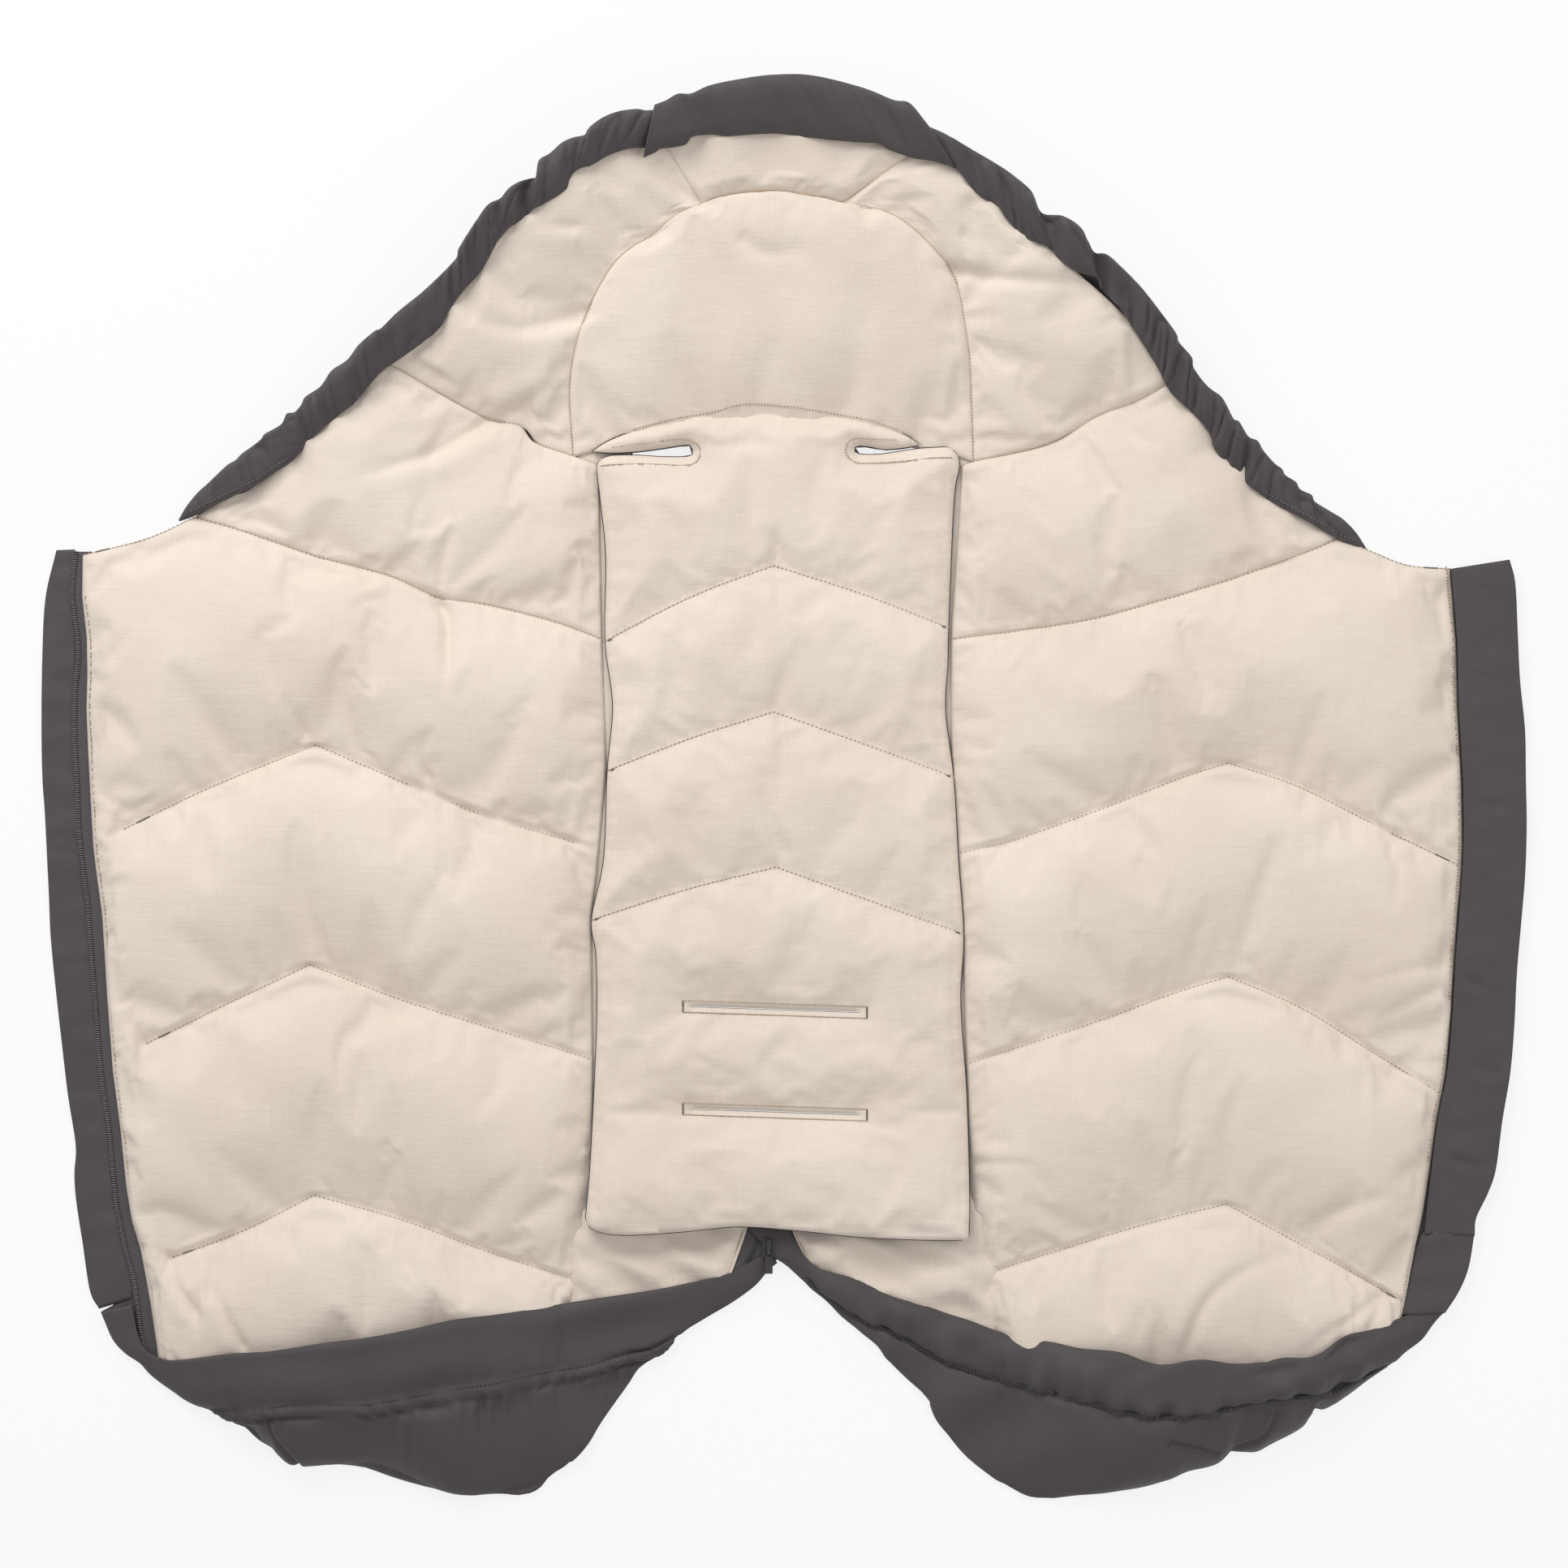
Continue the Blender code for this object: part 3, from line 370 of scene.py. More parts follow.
def coons(bottom, top, left, right, across, along):
    """The patch between four edges: bottom and top run the same way, and so do left and right."""
    b, t = even_line(bottom, across), even_line(top, across)
    l, r = even_line(left, along), even_line(right, along)
    u = np.linspace(0, 1, across + 1)[None, :, None]
    v = np.linspace(0, 1, along + 1)[:, None, None]
    ruled = (1 - v) * b[None] + v * t[None] + (1 - u) * l[:, None] + u * r[:, None]
    corners = (1 - u) * (1 - v) * b[0] + u * (1 - v) * b[-1] + (1 - u) * v * t[0] + u * v * t[-1]
    return ruled - corners


def grid_faces(rows, columns, first=0, flip=False):
    index = first + np.arange(rows * columns).reshape(rows, columns)
    corners = (index[:-1, :-1], index[:-1, 1:], index[1:, 1:], index[1:, :-1])
    quads = np.stack(corners, axis=-1).reshape(-1, 4)
    return (quads[:, ::-1] if flip else quads).tolist()


def refine(grid):
    """The same patch with a point between every two, on a smooth curve."""
    for axis in (0, 1):
        moved = np.moveaxis(grid, axis, 0)
        padded = np.concatenate([2 * moved[:1] - moved[1:2], moved, 2 * moved[-1:] - moved[-2:-1]])
        between = (9 * (padded[1:-2] + padded[2:-1]) - padded[:-3] - padded[3:]) / 16
        finer = np.empty((2 * len(moved) - 1, *moved.shape[1:]))
        finer[::2] = moved
        finer[1::2] = between
        grid = np.moveaxis(finer, 0, axis)
    return grid


def mesh_object(name, points, faces, material):
    """An object from points in millimetres, shaded smooth, with its faces turned outwards."""
    mesh = bpy.data.meshes.new(name)
    mesh.from_pydata((np.asarray(points) * MM).tolist(), [], faces)
    work = bmesh.new()
    work.from_mesh(mesh)
    bmesh.ops.recalc_face_normals(work, faces=work.faces[:])
    work.to_mesh(mesh)
    work.free()
    mesh.shade_smooth()
    mesh.materials.append(material)
    made = bpy.data.objects.new(name, mesh)
    scene.collection.objects.link(made)
    return made


# %% [markdown]
# ## Bodies and joints
# The wings fold up beside the seat pad, and the pad lifts from the hood. Cloth doesn't stop at a hinge, but
# here a piece that crosses one only has its placement baked into its points, and nothing bends it.

# %% Bodies and joints
FOLD_END = 0.205
SIDES = {"left": -1, "right": 1}


def bend_with(piece):
    """For cloth that lies on the back inside the fold and on the wing outside it; bakes its placement in and
    bends nothing.
    """
    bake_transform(piece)


def declare_sheet(piece, length=None):
    area = sum(polygon.area for polygon in piece.data.polygons) / 2
    width, tall = np.ptp(np.array(piece.bound_box), axis=0)[:2]
    if length is None and width * tall < area:
        length = tall
    if length is not None:
        width, tall = area / length, length
    print(f"{piece.name}: cut {width / MM:.0f} x {tall / MM:.0f} mm, {area * 1e4:.0f} cm2")


# %% [markdown]
# ## Creases
# Where a seam's point, a fold or the elastic pulls on the cloth, a sharp valley stays with a swelling along
# one side of it. Each was read off the photograph as a line, from its deep end, with a depth and a width.

# %% Creases
CREASES = (
    ([(-195.5, 242), (-209, 232), (-239, 216.5), (-282, 203.6)], 3.6, 4.6),
    ([(-228.5, 127), (-225.6, 147), (-216.6, 174)], 2.6, 3.6),
    ([(-246, 164), (-245, 178), (-240, 190)], 1.6, 3.2),
    ([(-230, 122), (-224, 108), (-223, 84), (-224, 58)], 4.4, 4.0),
    ([(-236, 2), (-240, 18), (-233, 38)], 2.8, 3.6),
    ([(-316, 31), (-323, 44), (-331, 60)], 1.8, 3.4),
    ([(-258, 3), (-243, -22), (-227, -53)], 2.2, 6.5),
    ([(-214, -14), (-203, -36), (-193, -62)], 2.4, 6.0),
    ([(-143, -40), (-136, -60), (-130, -83)], 3.0, 4.2),
    ([(-387, -353), (-403, -331), (-407, -318), (-426, -303)], 2.8, 3.6),
    ([(-356, -375), (-361, -366), (-374, -342), (-385.5, -328)], 2.8, 3.6),
    ([(265, -376), (279, -343), (305, -322), (342, -310)], 2.8, 4.4),
    ([(385, -364), (398.5, -341), (399, -330)], 2.4, 3.6),
    ([(338, 163), (320, 180)], 2.2, 3.4),
    ([(439.5, -133), (410, -147), (376, -167)], 1.6, 4.6),
    ([(440, -118), (405, -125), (372, -134)], 1.2, 4.2),
    ([(437, -185), (414, -188), (392, -196)], 1.4, 4.2),
    ([(403, -41), (414, -27), (427, -14)], 1.5, 4.6),
    ([(396, -272), (362, -285), (328, -303)], 1.7, 5.0),
    ([(399, -338), (379, -351), (360, -363), (342, -377)], 2.2, 4.2),
    ([(125, -252), (145, -251), (166, -251)], 1.8, 2.8),
    ([(126, -294), (133, -283), (138, -268)], 2.2, 3.2),
    ([(-127, -242), (-133, -241), (-140, -248)], 2.2, 2.4),
    ([(-424, -175), (-432, -163), (-441, -150)], 1.6, 3.4),
    ([(-441, -29), (-447, -18), (-452, -6)], 1.2, 3.4),
    ([(104.5, 340), (139, 333), (177, 330), (203, 332)], 4.2, 4.6),
    ([(117, 364), (126, 342)], 2.4, 3.4),
    ([(-134, 365), (-165, 367)], 2.2, 3.8),
    ([(-126, 313), (-173, 300), (-210, 309)], 3.0, 5.4),
    ([(-192, 240), (-164, 257), (-143, 272)], 2.6, 4.4),
    ([(-31, 361), (-12, 349), (17, 352)], 2.2, 5.4),
    ([(-96, 238), (-114, 256)], 1.8, 3.4),
    ([(-54, 382), (-69, 392), (-76, 409)], 2.4, 3.2),
    ([(37, 383), (61, 399), (80, 411)], 2.0, 3.4),
    ([(-6, 147), (-5.5, 158), (-4.5, 174)], 3.2, 3.2),
    ([(-5.5, 144), (-2.5, 117), (2.5, 92)], 3.0, 3.2),
    ([(-5.5, 50), (-2.6, 66), (-1, 86)], 1.8, 3.2),
    ([(-4.4, 45), (-1, 24), (2.5, 4)], 3.6, 3.2),
    ([(0.5, -50), (-5.5, -30), (-11.5, -14)], 1.9, 3.4),
    ([(-4.4, -57), (-7, -71), (-9.4, -88)], 2.0, 3.6),
)


def press(points, floor_height, creases=CREASES):
    """Presses the creases into a surface, but nowhere lower than the given height."""
    flat = points.reshape(-1, 3).copy()
    for line, depth, width in creases:
        spots = run_of(line, 1.5)
        low, high = spots.min(axis=0) - 5 * width, spots.max(axis=0) + 5 * width
        close = ((flat[:, :2] > low) & (flat[:, :2] < high)).all(axis=1)
        if not close.any():
            continue
        apart = flat[close, None, :2] - spots[None]
        gaps = np.linalg.norm(apart, axis=2)
        at = gaps.argmin(axis=1)
        ahead = np.gradient(spots, axis=0)[at]
        gap = gaps[np.arange(len(at)), at]
        apart = apart[np.arange(len(at)), at]
        side = np.sign(ahead[:, 0] * apart[:, 1] - ahead[:, 1] * apart[:, 0])
        along = at / (len(spots) - 1)
        fading = (1 - along) ** 0.7 * smoothstep(0.35 + along / 0.15)
        beside = side * gap / width
        valley = hump(gap / width)
        swell = hump((beside - 2.4) / 1.7)
        flat[close, 2] += depth * fading * (0.5 * swell - 1.2 * valley)
    flat[:, 2] = np.maximum(flat[:, 2], floor_height(flat[:, 0], flat[:, 1]))
    return flat.reshape(points.shape)


print(len(CREASES), "creases, the longest", round(max(line_length(line) for line, *_ in CREASES)), "mm")


# %% [markdown]
# ## Blowing up a quilt
# A channel of a quilt is round because its cloth is cut a little larger than its seams let it lie, and the
# filling pushes it up. A cloth simulation does just that: the seams are pinned, the cloth grows by a few
# hundredths and takes pressure from below. The puckers beside each seam come by themselves.


# %% Blowing up a quilt
def inflate(points, faces, pinned, pressure, growth, cap, frames=18):
    """Puff up a sheet between its pinned points, moving none further than the cap, in millimetres."""
    mesh = bpy.data.meshes.new("sheet")
    mesh.from_pydata((points * MM).tolist(), [], faces)
    if sum(face.normal.z for face in mesh.polygons) < 0:
        mesh.flip_normals()
    sheet = bpy.data.objects.new("sheet", mesh)
    scene.collection.objects.link(sheet)
    group = sheet.vertex_groups.new(name="pins")
    group.add(np.flatnonzero(pinned).tolist(), 1.0, "REPLACE")
    cloth = sheet.modifiers.new("cloth", "CLOTH")
    settings = cloth.settings
    settings.quality = 5
    settings.mass = 0.15
    settings.air_damping = 4
    settings.tension_stiffness = 12
    settings.compression_stiffness = 12
    settings.shear_stiffness = 4
    settings.bending_stiffness = 1.5
    settings.use_pressure = True
    settings.uniform_pressure_force = pressure
    settings.shrink_min = -growth
    settings.vertex_group_mass = "pins"
    settings.effector_weights.gravity = 0
    cloth.collision_settings.use_collision = False
    cloth.point_cache.frame_start = 1
    cloth.point_cache.frame_end = frames
    for number in range(1, frames + 1):
        scene.frame_set(number)
    blown = sheet.evaluated_get(bpy.context.evaluated_depsgraph_get()).data
    found = np.empty(len(blown.vertices) * 3, np.float32)
    blown.vertices.foreach_get("co", found)
    moved = found.reshape(-1, 3) / MM - points
    bpy.data.objects.remove(sheet)
    bpy.data.meshes.remove(mesh)
    scene.frame_set(1)
    far = np.maximum(np.linalg.norm(moved, axis=1, keepdims=True), 1e-9)
    return points + moved / far * cap * np.tanh(far / cap)


def inflate_grid(grid, held, pressure, growth, cap):
    rows, columns = grid.shape[:2]
    pinned = held.copy()
    pinned[:, 0] = pinned[:, -1] = True
    blown = inflate(grid.reshape(-1, 3), grid_faces(rows, columns), pinned.ravel(), pressure, growth, cap)
    return blown.reshape(rows, columns, 3)


THINNEST_QUILT = 0.6


def closed_quilt(name, grid, bottom, material):
    """A padded piece: the blown-up top, refined once, over a plain underside at the bottom's height."""
    fine = press(refine(grid), lambda x, y: bottom(x, y) + THINNEST_QUILT)
    rows, columns = grid.shape[:2]
    fine_rows, fine_columns = fine.shape[:2]
    under = grid.copy()
    under[..., 2] = np.minimum(bottom(grid[..., 0], grid[..., 1]), grid[..., 2] - 0.3)
    first = fine_rows * fine_columns
    faces = grid_faces(fine_rows, fine_columns) + grid_faces(rows, columns, first, flip=True)
    tops = np.arange(first).reshape(fine_rows, fine_columns)
    lows = first + np.arange(rows * columns).reshape(rows, columns)
    for top, low in (
        (tops[0], lows[0]),
        (tops[-1][::-1], lows[-1][::-1]),
        (tops[:, 0][::-1], lows[:, 0][::-1]),
        (tops[:, -1], lows[:, -1]),
    ):
        for step in range(len(low) - 1):
            a, b, c = top[2 * step : 2 * step + 3]
            faces.append([int(low[step]), int(low[step + 1]), int(c), int(b), int(a)])
    points = np.vstack([fine.reshape(-1, 3), under.reshape(-1, 3)])
    piece = mesh_object(name, points, faces, material)
    print(f"{name}: {len(points)} points, top at {points[:, 2].max():.1f} mm")
    return piece


# %% [markdown]
# ## Wing quilts
# Each front wing is quilted in chevrons. The seams were read off the photograph from the zip to the seat
# pad, and split at the chevron's point, so that the grid's columns run through every point. Between two
# seams the cloth starts as a low arch and is then blown up. The shoulder is the channel next to the hood.

# %% Wing quilts
SEAM_HEIGHT = 5.5
ZIP_EDGE_HEIGHT = 3.6
QUILT_PITCH = 4.2
CORNER_STEPS, POINT_STEPS, PAD_STEPS = 18, 18, 46
WING_SEAMS = {
    "left": (
        (
            [(-460, 152), (-422, 163), (-392, 177)],
            [(-392, 177), (-360, 168), (-311, 151)],
            [(-311, 151), (-262, 138), (-230, 124), (-198, 119), (-154, 108), (-120, 96)],
        ),
        (
            [(-456, -40), (-387, -5), (-311, 26)],
            [(-311, 26), (-257, 3), (-198, -21), (-144, -37), (-122, -44)],
        ),
        (
            [(-442, -183), (-382, -152), (-315, -120)],
            [(-315, -120), (-252, -144), (-198, -161), (-127, -183)],
        ),
        (
            [(-424, -321), (-360, -297), (-312, -273)],
            [(-312, -273), (-252, -290), (-198, -310), (-137, -330)],
        ),
        ([(-415, -388), (-360, -409), (-318, -405)], [(-318, -405), (-252, -394), (-145, -370)]),
    ),
    "right": (
        (
            [(442, 143), (415, 145), (391, 154), (369, 163)],
            [(369, 163), (342, 152), (300, 137)],
            [(300, 137), (288, 133), (251, 122), (197, 108), (113, 96)],
        ),
        (
            [(448, -55), (396, -29), (342, -2), (295, 14)],
            [(295, 14), (261, 3), (207, -18), (153, -37), (115, -46)],
        ),
        (
            [(434, -206), (386, -175), (342, -148), (295, -128)],
            [(295, -128), (256, -140), (207, -158), (121, -186)],
        ),
        ([(417, -345), (375, -323), (294, -279)], [(294, -279), (256, -288), (207, -302), (128, -327)]),
        (
            [(409, -368), (364, -402), (321, -416), (294, -417)],
            [(294, -417), (261, -416), (213, -410), (146, -393)],
        ),
    ),
}
HOOD_SIDE_SEAMS = {
    "left": [(-261.3, 278.0), (-225, 257), (-198, 243), (-176, 238), (-166, 227), (-144, 219), (-122, 212)],
    "right": [(257.2, 266.3), (234, 254), (207, 243.5), (175, 225), (126, 214), (118, 211)],
}
PAD_SIDE = {
    "left": [(-122, 214), (-123, 200), (-121, 95), (-118, 9), (-123, -42), (-128, -90), (-127, -184),
             (-127, -303), (-134, -326), (-143, -345), (-146, -362)],
    "right": [(118, 213), (118, 200), (111, 100), (111, 6), (118, -90), (120, -149), (122, -217),
              (123, -303), (129, -327), (135, -345), (145, -378)],
}
PAD_SIDE_COLUMNS = 12
PAD_ROLL_COLUMNS = 9
PAD_EDGE_HEIGHT = 4.0
WING_CROWN, WING_CAP, WING_PRESSURE = 13.0, 12.0, 3.4
SHOULDER_CROWN, SHOULDER_CAP, SHOULDER_PRESSURE = 9.0, 9.0, 2.8
QUILT_GROWTH = 0.018


def draw_to_pad(patch, side):
    """Moves a patch's last columns so that its edge follows the side of the seat pad."""
    border = np.array(PAD_SIDE[side], float)[::-1]
    wanted = np.interp(patch[:, -1, 1], border[:, 1], border[:, 0])
    columns = patch.shape[1]
    share = np.clip((np.arange(columns) - (columns - 1 - PAD_SIDE_COLUMNS)) / PAD_SIDE_COLUMNS, 0, 1) ** 2
    patch[..., 0] += (wanted - patch[:, -1, 0])[:, None] * share
    return patch


ZIP_SIDE = {
    "left": [
        (-466, 154), (-466.4, 124), (-463.3, 97), (-462.9, 72), (-463.6, 50), (-462.3, 20), (-460.8, -10),
        (-459, -42), (-456.5, -62), (-453, -88), (-449.7, -143), (-446, -191), (-441, -229), (-437, -268),
        (-433.4, -290), (-427.6, -309), (-424, -328), (-421, -345), (-417, -372), (-415, -390),
    ],
    "right": [
        (442.5, 144), (443.3, 133), (446.6, 95), (447.7, 52), (450.4, 0), (451, -37), (449.8, -62),
        (446, -110), (442.8, -159), (440, -191), (433.6, -224), (429.3, -256), (424, -288), (420, -305),
        (414, -337), (408, -368),
    ],
}
ZIP_SIDE_COLUMNS = 14


def draw_to_zip(patch, side):
    """Moves a wing's first columns so that its edge follows the edge of the zip."""
    border = np.array(ZIP_SIDE[side], float)[::-1]
    wanted = np.interp(patch[:, 0, 1], border[:, 1], border[:, 0])
    share = np.clip((ZIP_SIDE_COLUMNS - np.arange(patch.shape[1])) / ZIP_SIDE_COLUMNS, 0, 1) ** 1.5
    patch[..., 0] += (wanted - patch[:, 0, 0])[:, None] * share
    return patch


WING_UNDERSIDE = 1.6
TAPE_STEP, BACK_STEP, FOLD_STEP = 1.1, 1.6, 0.9
TAPE_COVER = 8.5
BACK_COVER_X = 152.0


def under_quilt(x, y):
    """Underside of the wings, which steps up over the zip's tape, the back's lining and the fold."""
    zips = {side: np.array(points, float)[::-1] for side, points in ZIP_SIDE.items()}
    left, right = (np.interp(y, zips[side][:, 1], np.abs(zips[side][:, 0])) for side in SIDES)
    to_zip = np.where(x < 0, left, right) - np.abs(x)
    on_tape = TAPE_STEP * smoothstep((TAPE_COVER - to_zip) / 2) * (y < 160) * (np.abs(x) > 300)
    over_back = BACK_STEP * smoothstep((BACK_COVER_X - np.abs(x)) / 8)
    at_fold = FOLD_STEP * smoothstep((FOLD_END / MM + 25 - np.abs(x)) / 15)
    return bowl(x, y) + WING_UNDERSIDE + np.maximum(over_back, at_fold) + on_tape


BOWL_HALF_WIDTH, BOWL_HALF_LENGTH, BOWL_CENTRE_Y = 259.0, 212.0, 220.0
BOWL_RISE, BOWL_START_Y, BOWL_BLEND = 42.0, 190.0, 200.0


def bowl_spread(x, y):
    """0 in the middle of the hood's bowl and 1 at its rim."""
    return (x / BOWL_HALF_WIDTH) ** 2 + ((y - BOWL_CENTRE_Y) / BOWL_HALF_LENGTH) ** 2


def bowl(x, y):
    """How far the elastic lifts the hood's outside off the floor."""
    return BOWL_RISE * bowl_spread(x, y) * smoothstep((y - BOWL_START_Y) / BOWL_BLEND)


def seam_rows(counts):
    return np.concatenate([[0], np.cumsum(counts)])


def open_ends(patch, counts, stops):
    """For each seam and column 1 where the stitching hasn't begun yet, 0 where it holds the quilt down."""
    rows = patch[seam_rows(counts)]
    gone = np.linalg.norm(rows - rows[:, :1], axis=2)
    return smoothstep((np.array(stops)[:, None] - gone) / 9)


def channel_rise(counts, opened):
    """A low arch over each channel, 0 on its seams and its sides, as a start for the simulation."""
    along = np.concatenate([np.arange(count) / count for count in counts] + [[1.0]])[:, None]
    span = np.append(np.repeat(np.arange(len(counts)), counts), len(counts) - 1)
    over = np.clip(np.sin(math.pi * along), 0, 1) ** 0.6
    over = np.maximum(over, 0.8 * (opened[span] * (1 - along) + opened[span + 1] * along))
    columns = opened.shape[1]
    number = np.arange(columns)
    zip_side = np.minimum(1.0, number / 12) ** 0.4
    pad_side = np.sin(math.pi / 2 * np.minimum(1.0, (columns - 1 - number) / PAD_ROLL_COLUMNS)) ** 0.9
    return over * (zip_side * pad_side)[None]


SEAM_STOPS = {"left": (0, 21, 24, 19, 0), "right": (0, 0, 0, 0, 0)}


def quilt_grid(rails, side, crown, cap, pressure, growth, seed, stops=(0, 0)):
    """One wing or shoulder: patch, arch, simulation. Returns the grid and the stitched part of each seam."""
    gaps = [np.linalg.norm(b - a, axis=1).mean() for a, b in zip(rails[:-1], rails[1:])]
    counts = [max(6, round(gap / QUILT_PITCH)) for gap in gaps]
    patch = draw_to_pad(through(rails, counts), side)
    if len(counts) > 1:
        patch = draw_to_zip(patch, side)
    rows, columns = patch.shape[:2]
    held = np.zeros((rows, columns), bool)
    held[seam_rows(counts)] = True
    patch = relax(patch, held)
    opened = open_ends(patch, counts, stops)
    held[seam_rows(counts)] = opened == 0
    x, y = patch[..., 0], patch[..., 1]
    from_zip = np.clip(np.arange(columns) / 3, 0, 1)
    from_pad = np.clip((columns - 1 - np.arange(columns)) / 4, 0, 1)
    base = bowl(x, y) + (ZIP_EDGE_HEIGHT + (SEAM_HEIGHT - ZIP_EDGE_HEIGHT) * from_zip)[None]
    base -= ((SEAM_HEIGHT - PAD_EDGE_HEIGHT) * (1 - from_pad))[None]
    rise = channel_rise(counts, opened)
    height = base + crown * rise + 0.8 * rise * ripple(x, y, seed, 60)
    grid = np.dstack([x, y, height])
    grid = inflate_grid(grid, held, pressure, growth, cap)
    return grid, [grid[row][gap == 0] for row, gap in zip(seam_rows(counts), opened)]


stitch_paths = {}
quilts = {}
wing_grids = {}
for side in SIDES:
    wing_rails = []
    for seam in WING_SEAMS[side]:
        if len(seam) == 3:
            wing_rails.append(rail((seam[0], CORNER_STEPS), (seam[1], POINT_STEPS), (seam[2], PAD_STEPS)))
        else:
            wing_rails.append(rail((seam[0], CORNER_STEPS + POINT_STEPS), (seam[1], PAD_STEPS)))
    top = rail((HOOD_SIDE_SEAMS[side], POINT_STEPS + PAD_STEPS))
    shoulder_foot = wing_rails[0][CORNER_STEPS:]
    wing_size = (WING_CROWN, WING_CAP, WING_PRESSURE, QUILT_GROWTH)
    grid, seams = quilt_grid(wing_rails, side, *wing_size, 11 + SIDES[side], SEAM_STOPS[side])
    quilts[f"{side}_wing"] = closed_quilt(f"{side}_wing_quilt", grid, under_quilt, LINING)
    stitch_paths[f"{side}_wing"] = seams[:-1]
    wing_grids[side] = grid
    shoulder_size = (SHOULDER_CROWN, SHOULDER_CAP, SHOULDER_PRESSURE, QUILT_GROWTH)
    shoulder, _ = quilt_grid([top, shoulder_foot], side, *shoulder_size, 21 + SIDES[side])
    quilts[f"{side}_shoulder"] = closed_quilt(f"{side}_shoulder_quilt", shoulder, under_quilt, LINING)
    stitch_paths[f"{side}_hood_seam"] = [shoulder[0]]
    for part in ("wing", "shoulder"):
        bend_with(quilts[f"{side}_{part}"])
        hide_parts(f"{side}_{part}_lining", f"{side}_{part}_wadding")

# %% [markdown]
# ## Hood lining
# The hood is three padded panels and a small insert at the top. Each lies between four edges, which a Coons
# patch fills in. The elastic pulls the rim up, so the panels lie in a shallow bowl and crease towards it.

# %% Hood lining
HOOD_SEAM_HEIGHT = 5.5
HOOD_CROWN = 9.0
HOOD_UNDERSIDE = 2.5
# Each panel's cap in millimetres, pressure and growth.
HOOD_PUFF = {"centre": (9.0, 2.2, 0.018), "insert": (5.0, 1.5, 0.016), "side": (9.0, 2.4, 0.02)}
HOOD_SEAMS = {
    "left": [
        (-140, 217), (-142, 262), (-136, 295), (-125, 322), (-109, 346), (-86, 362), (-71, 374), (-54, 381),
    ],
    "right": [(126, 214), (124, 262), (121, 295), (113, 333), (99, 352), (80, 369), (62, 378), (37, 381.5)],
}
HOOD_RIM = {
    "left": [
        (-261.3, 278.0), (-227.7, 310.0), (-196.4, 347.8), (-159.5, 388.7), (-136.1, 406.2),
        (-105.9, 416.7), (-79.6, 421.4),
    ],
    "right": [
        (257.2, 266.3), (228.6, 304.1), (192.3, 336.9), (158.2, 366.9), (132.0, 390.2), (106.8, 408.8),
        (85.4, 414.5),
    ],
}
HOOD_FOOT = [(-140, 217), (-125, 221), (-79, 227), (-14, 229), (53, 227), (100, 221), (126, 214)]
INSERT_SEAM = [(-54, 381), (-38, 386.5), (-8, 389.5), (18, 386.5), (37, 381.5)]
INSERT_RIM = [(-79.6, 421.4), (-54.4, 430.2), (-6.8, 435.0), (53.4, 427.2), (85.4, 414.5)]
BAND_EDGE_Y = 236.0


def hood_base(x, y):
    """Top of the hood's lining before it puffs up; it drops under the seat pad's upper band."""
    fullness = np.clip(1 - bowl_spread(x, y), 0, 1) * smoothstep((y - 230) / 70)
    dip = 1.5 * smoothstep((BAND_EDGE_Y - y) / 8)
    return bowl(x, y) + HOOD_SEAM_HEIGHT - dip + HOOD_CROWN * fullness


def under_hood(x, y):
    return bowl(x, y) + HOOD_UNDERSIDE


def hood_panel(name, patch, cap, pressure, growth, seed):
    rows, columns = patch.shape[:2]
    x, y = patch[..., 0], patch[..., 1]
    held = np.zeros((rows, columns), bool)
    held[0] = held[-1] = True
    u, v = np.meshgrid(np.linspace(0, 1, columns), np.linspace(0, 1, rows))
    puff = np.minimum(1.0, 6 * u * (1 - u)) ** 0.5 * np.minimum(1.0, 6 * v * (1 - v)) ** 0.5
    height = hood_base(x, y) + puff * (5.0 + 1.2 * ripple(x, y, seed, 70))
    grid = inflate_grid(np.dstack([x, y, height]), held, pressure, growth, cap)
    return closed_quilt(name, grid, under_hood, LINING), grid


centre_patch = coons(HOOD_FOOT, INSERT_SEAM, HOOD_SEAMS["left"], HOOD_SEAMS["right"], 58, 40)
insert_sides = [[INSERT_SEAM[end], INSERT_RIM[end]] for end in (0, -1)]
insert_patch = coons(INSERT_SEAM, INSERT_RIM, *insert_sides, 36, 14)
hood_centre, centre_grid = hood_panel("hood_centre_quilt", centre_patch, *HOOD_PUFF["centre"], 31)
hood_insert, _ = hood_panel("hood_insert_quilt", insert_patch, *HOOD_PUFF["insert"], 33)
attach(hood_centre, "back")
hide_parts("hood_lining_centre", "hood_wadding")
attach(hood_insert, "back")
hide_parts("hood_top_insert")
stitch_paths["hood"] = [centre_grid[:, 0], centre_grid[:, -1], centre_grid[-1]]
for side in SIDES:
    rim, seam = HOOD_RIM[side], HOOD_SEAMS[side]
    patch = coons(HOOD_SIDE_SEAMS[side][:-1], [rim[-1], seam[-1]], rim, seam, 34, 46)
    panel, _ = hood_panel(f"hood_{side}_quilt", patch, *HOOD_PUFF["side"], 35 + SIDES[side])
    bend_with(panel)
    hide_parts(f"hood_lining_{side}")

# %% [markdown]
# ## Flat cut pieces
# Shells, backing and flaps are cut to an outline, some with a window or slots. A constrained Delaunay
# triangulation fills such an outline with even triangles, so the cloth can ripple and bend anywhere.


# %% Flat cut pieces
def loop_of(runs, pitch):
    """An outline from smooth runs that meet at corners."""
    return np.vstack([run_of(points, pitch)[:-1] for points in runs])


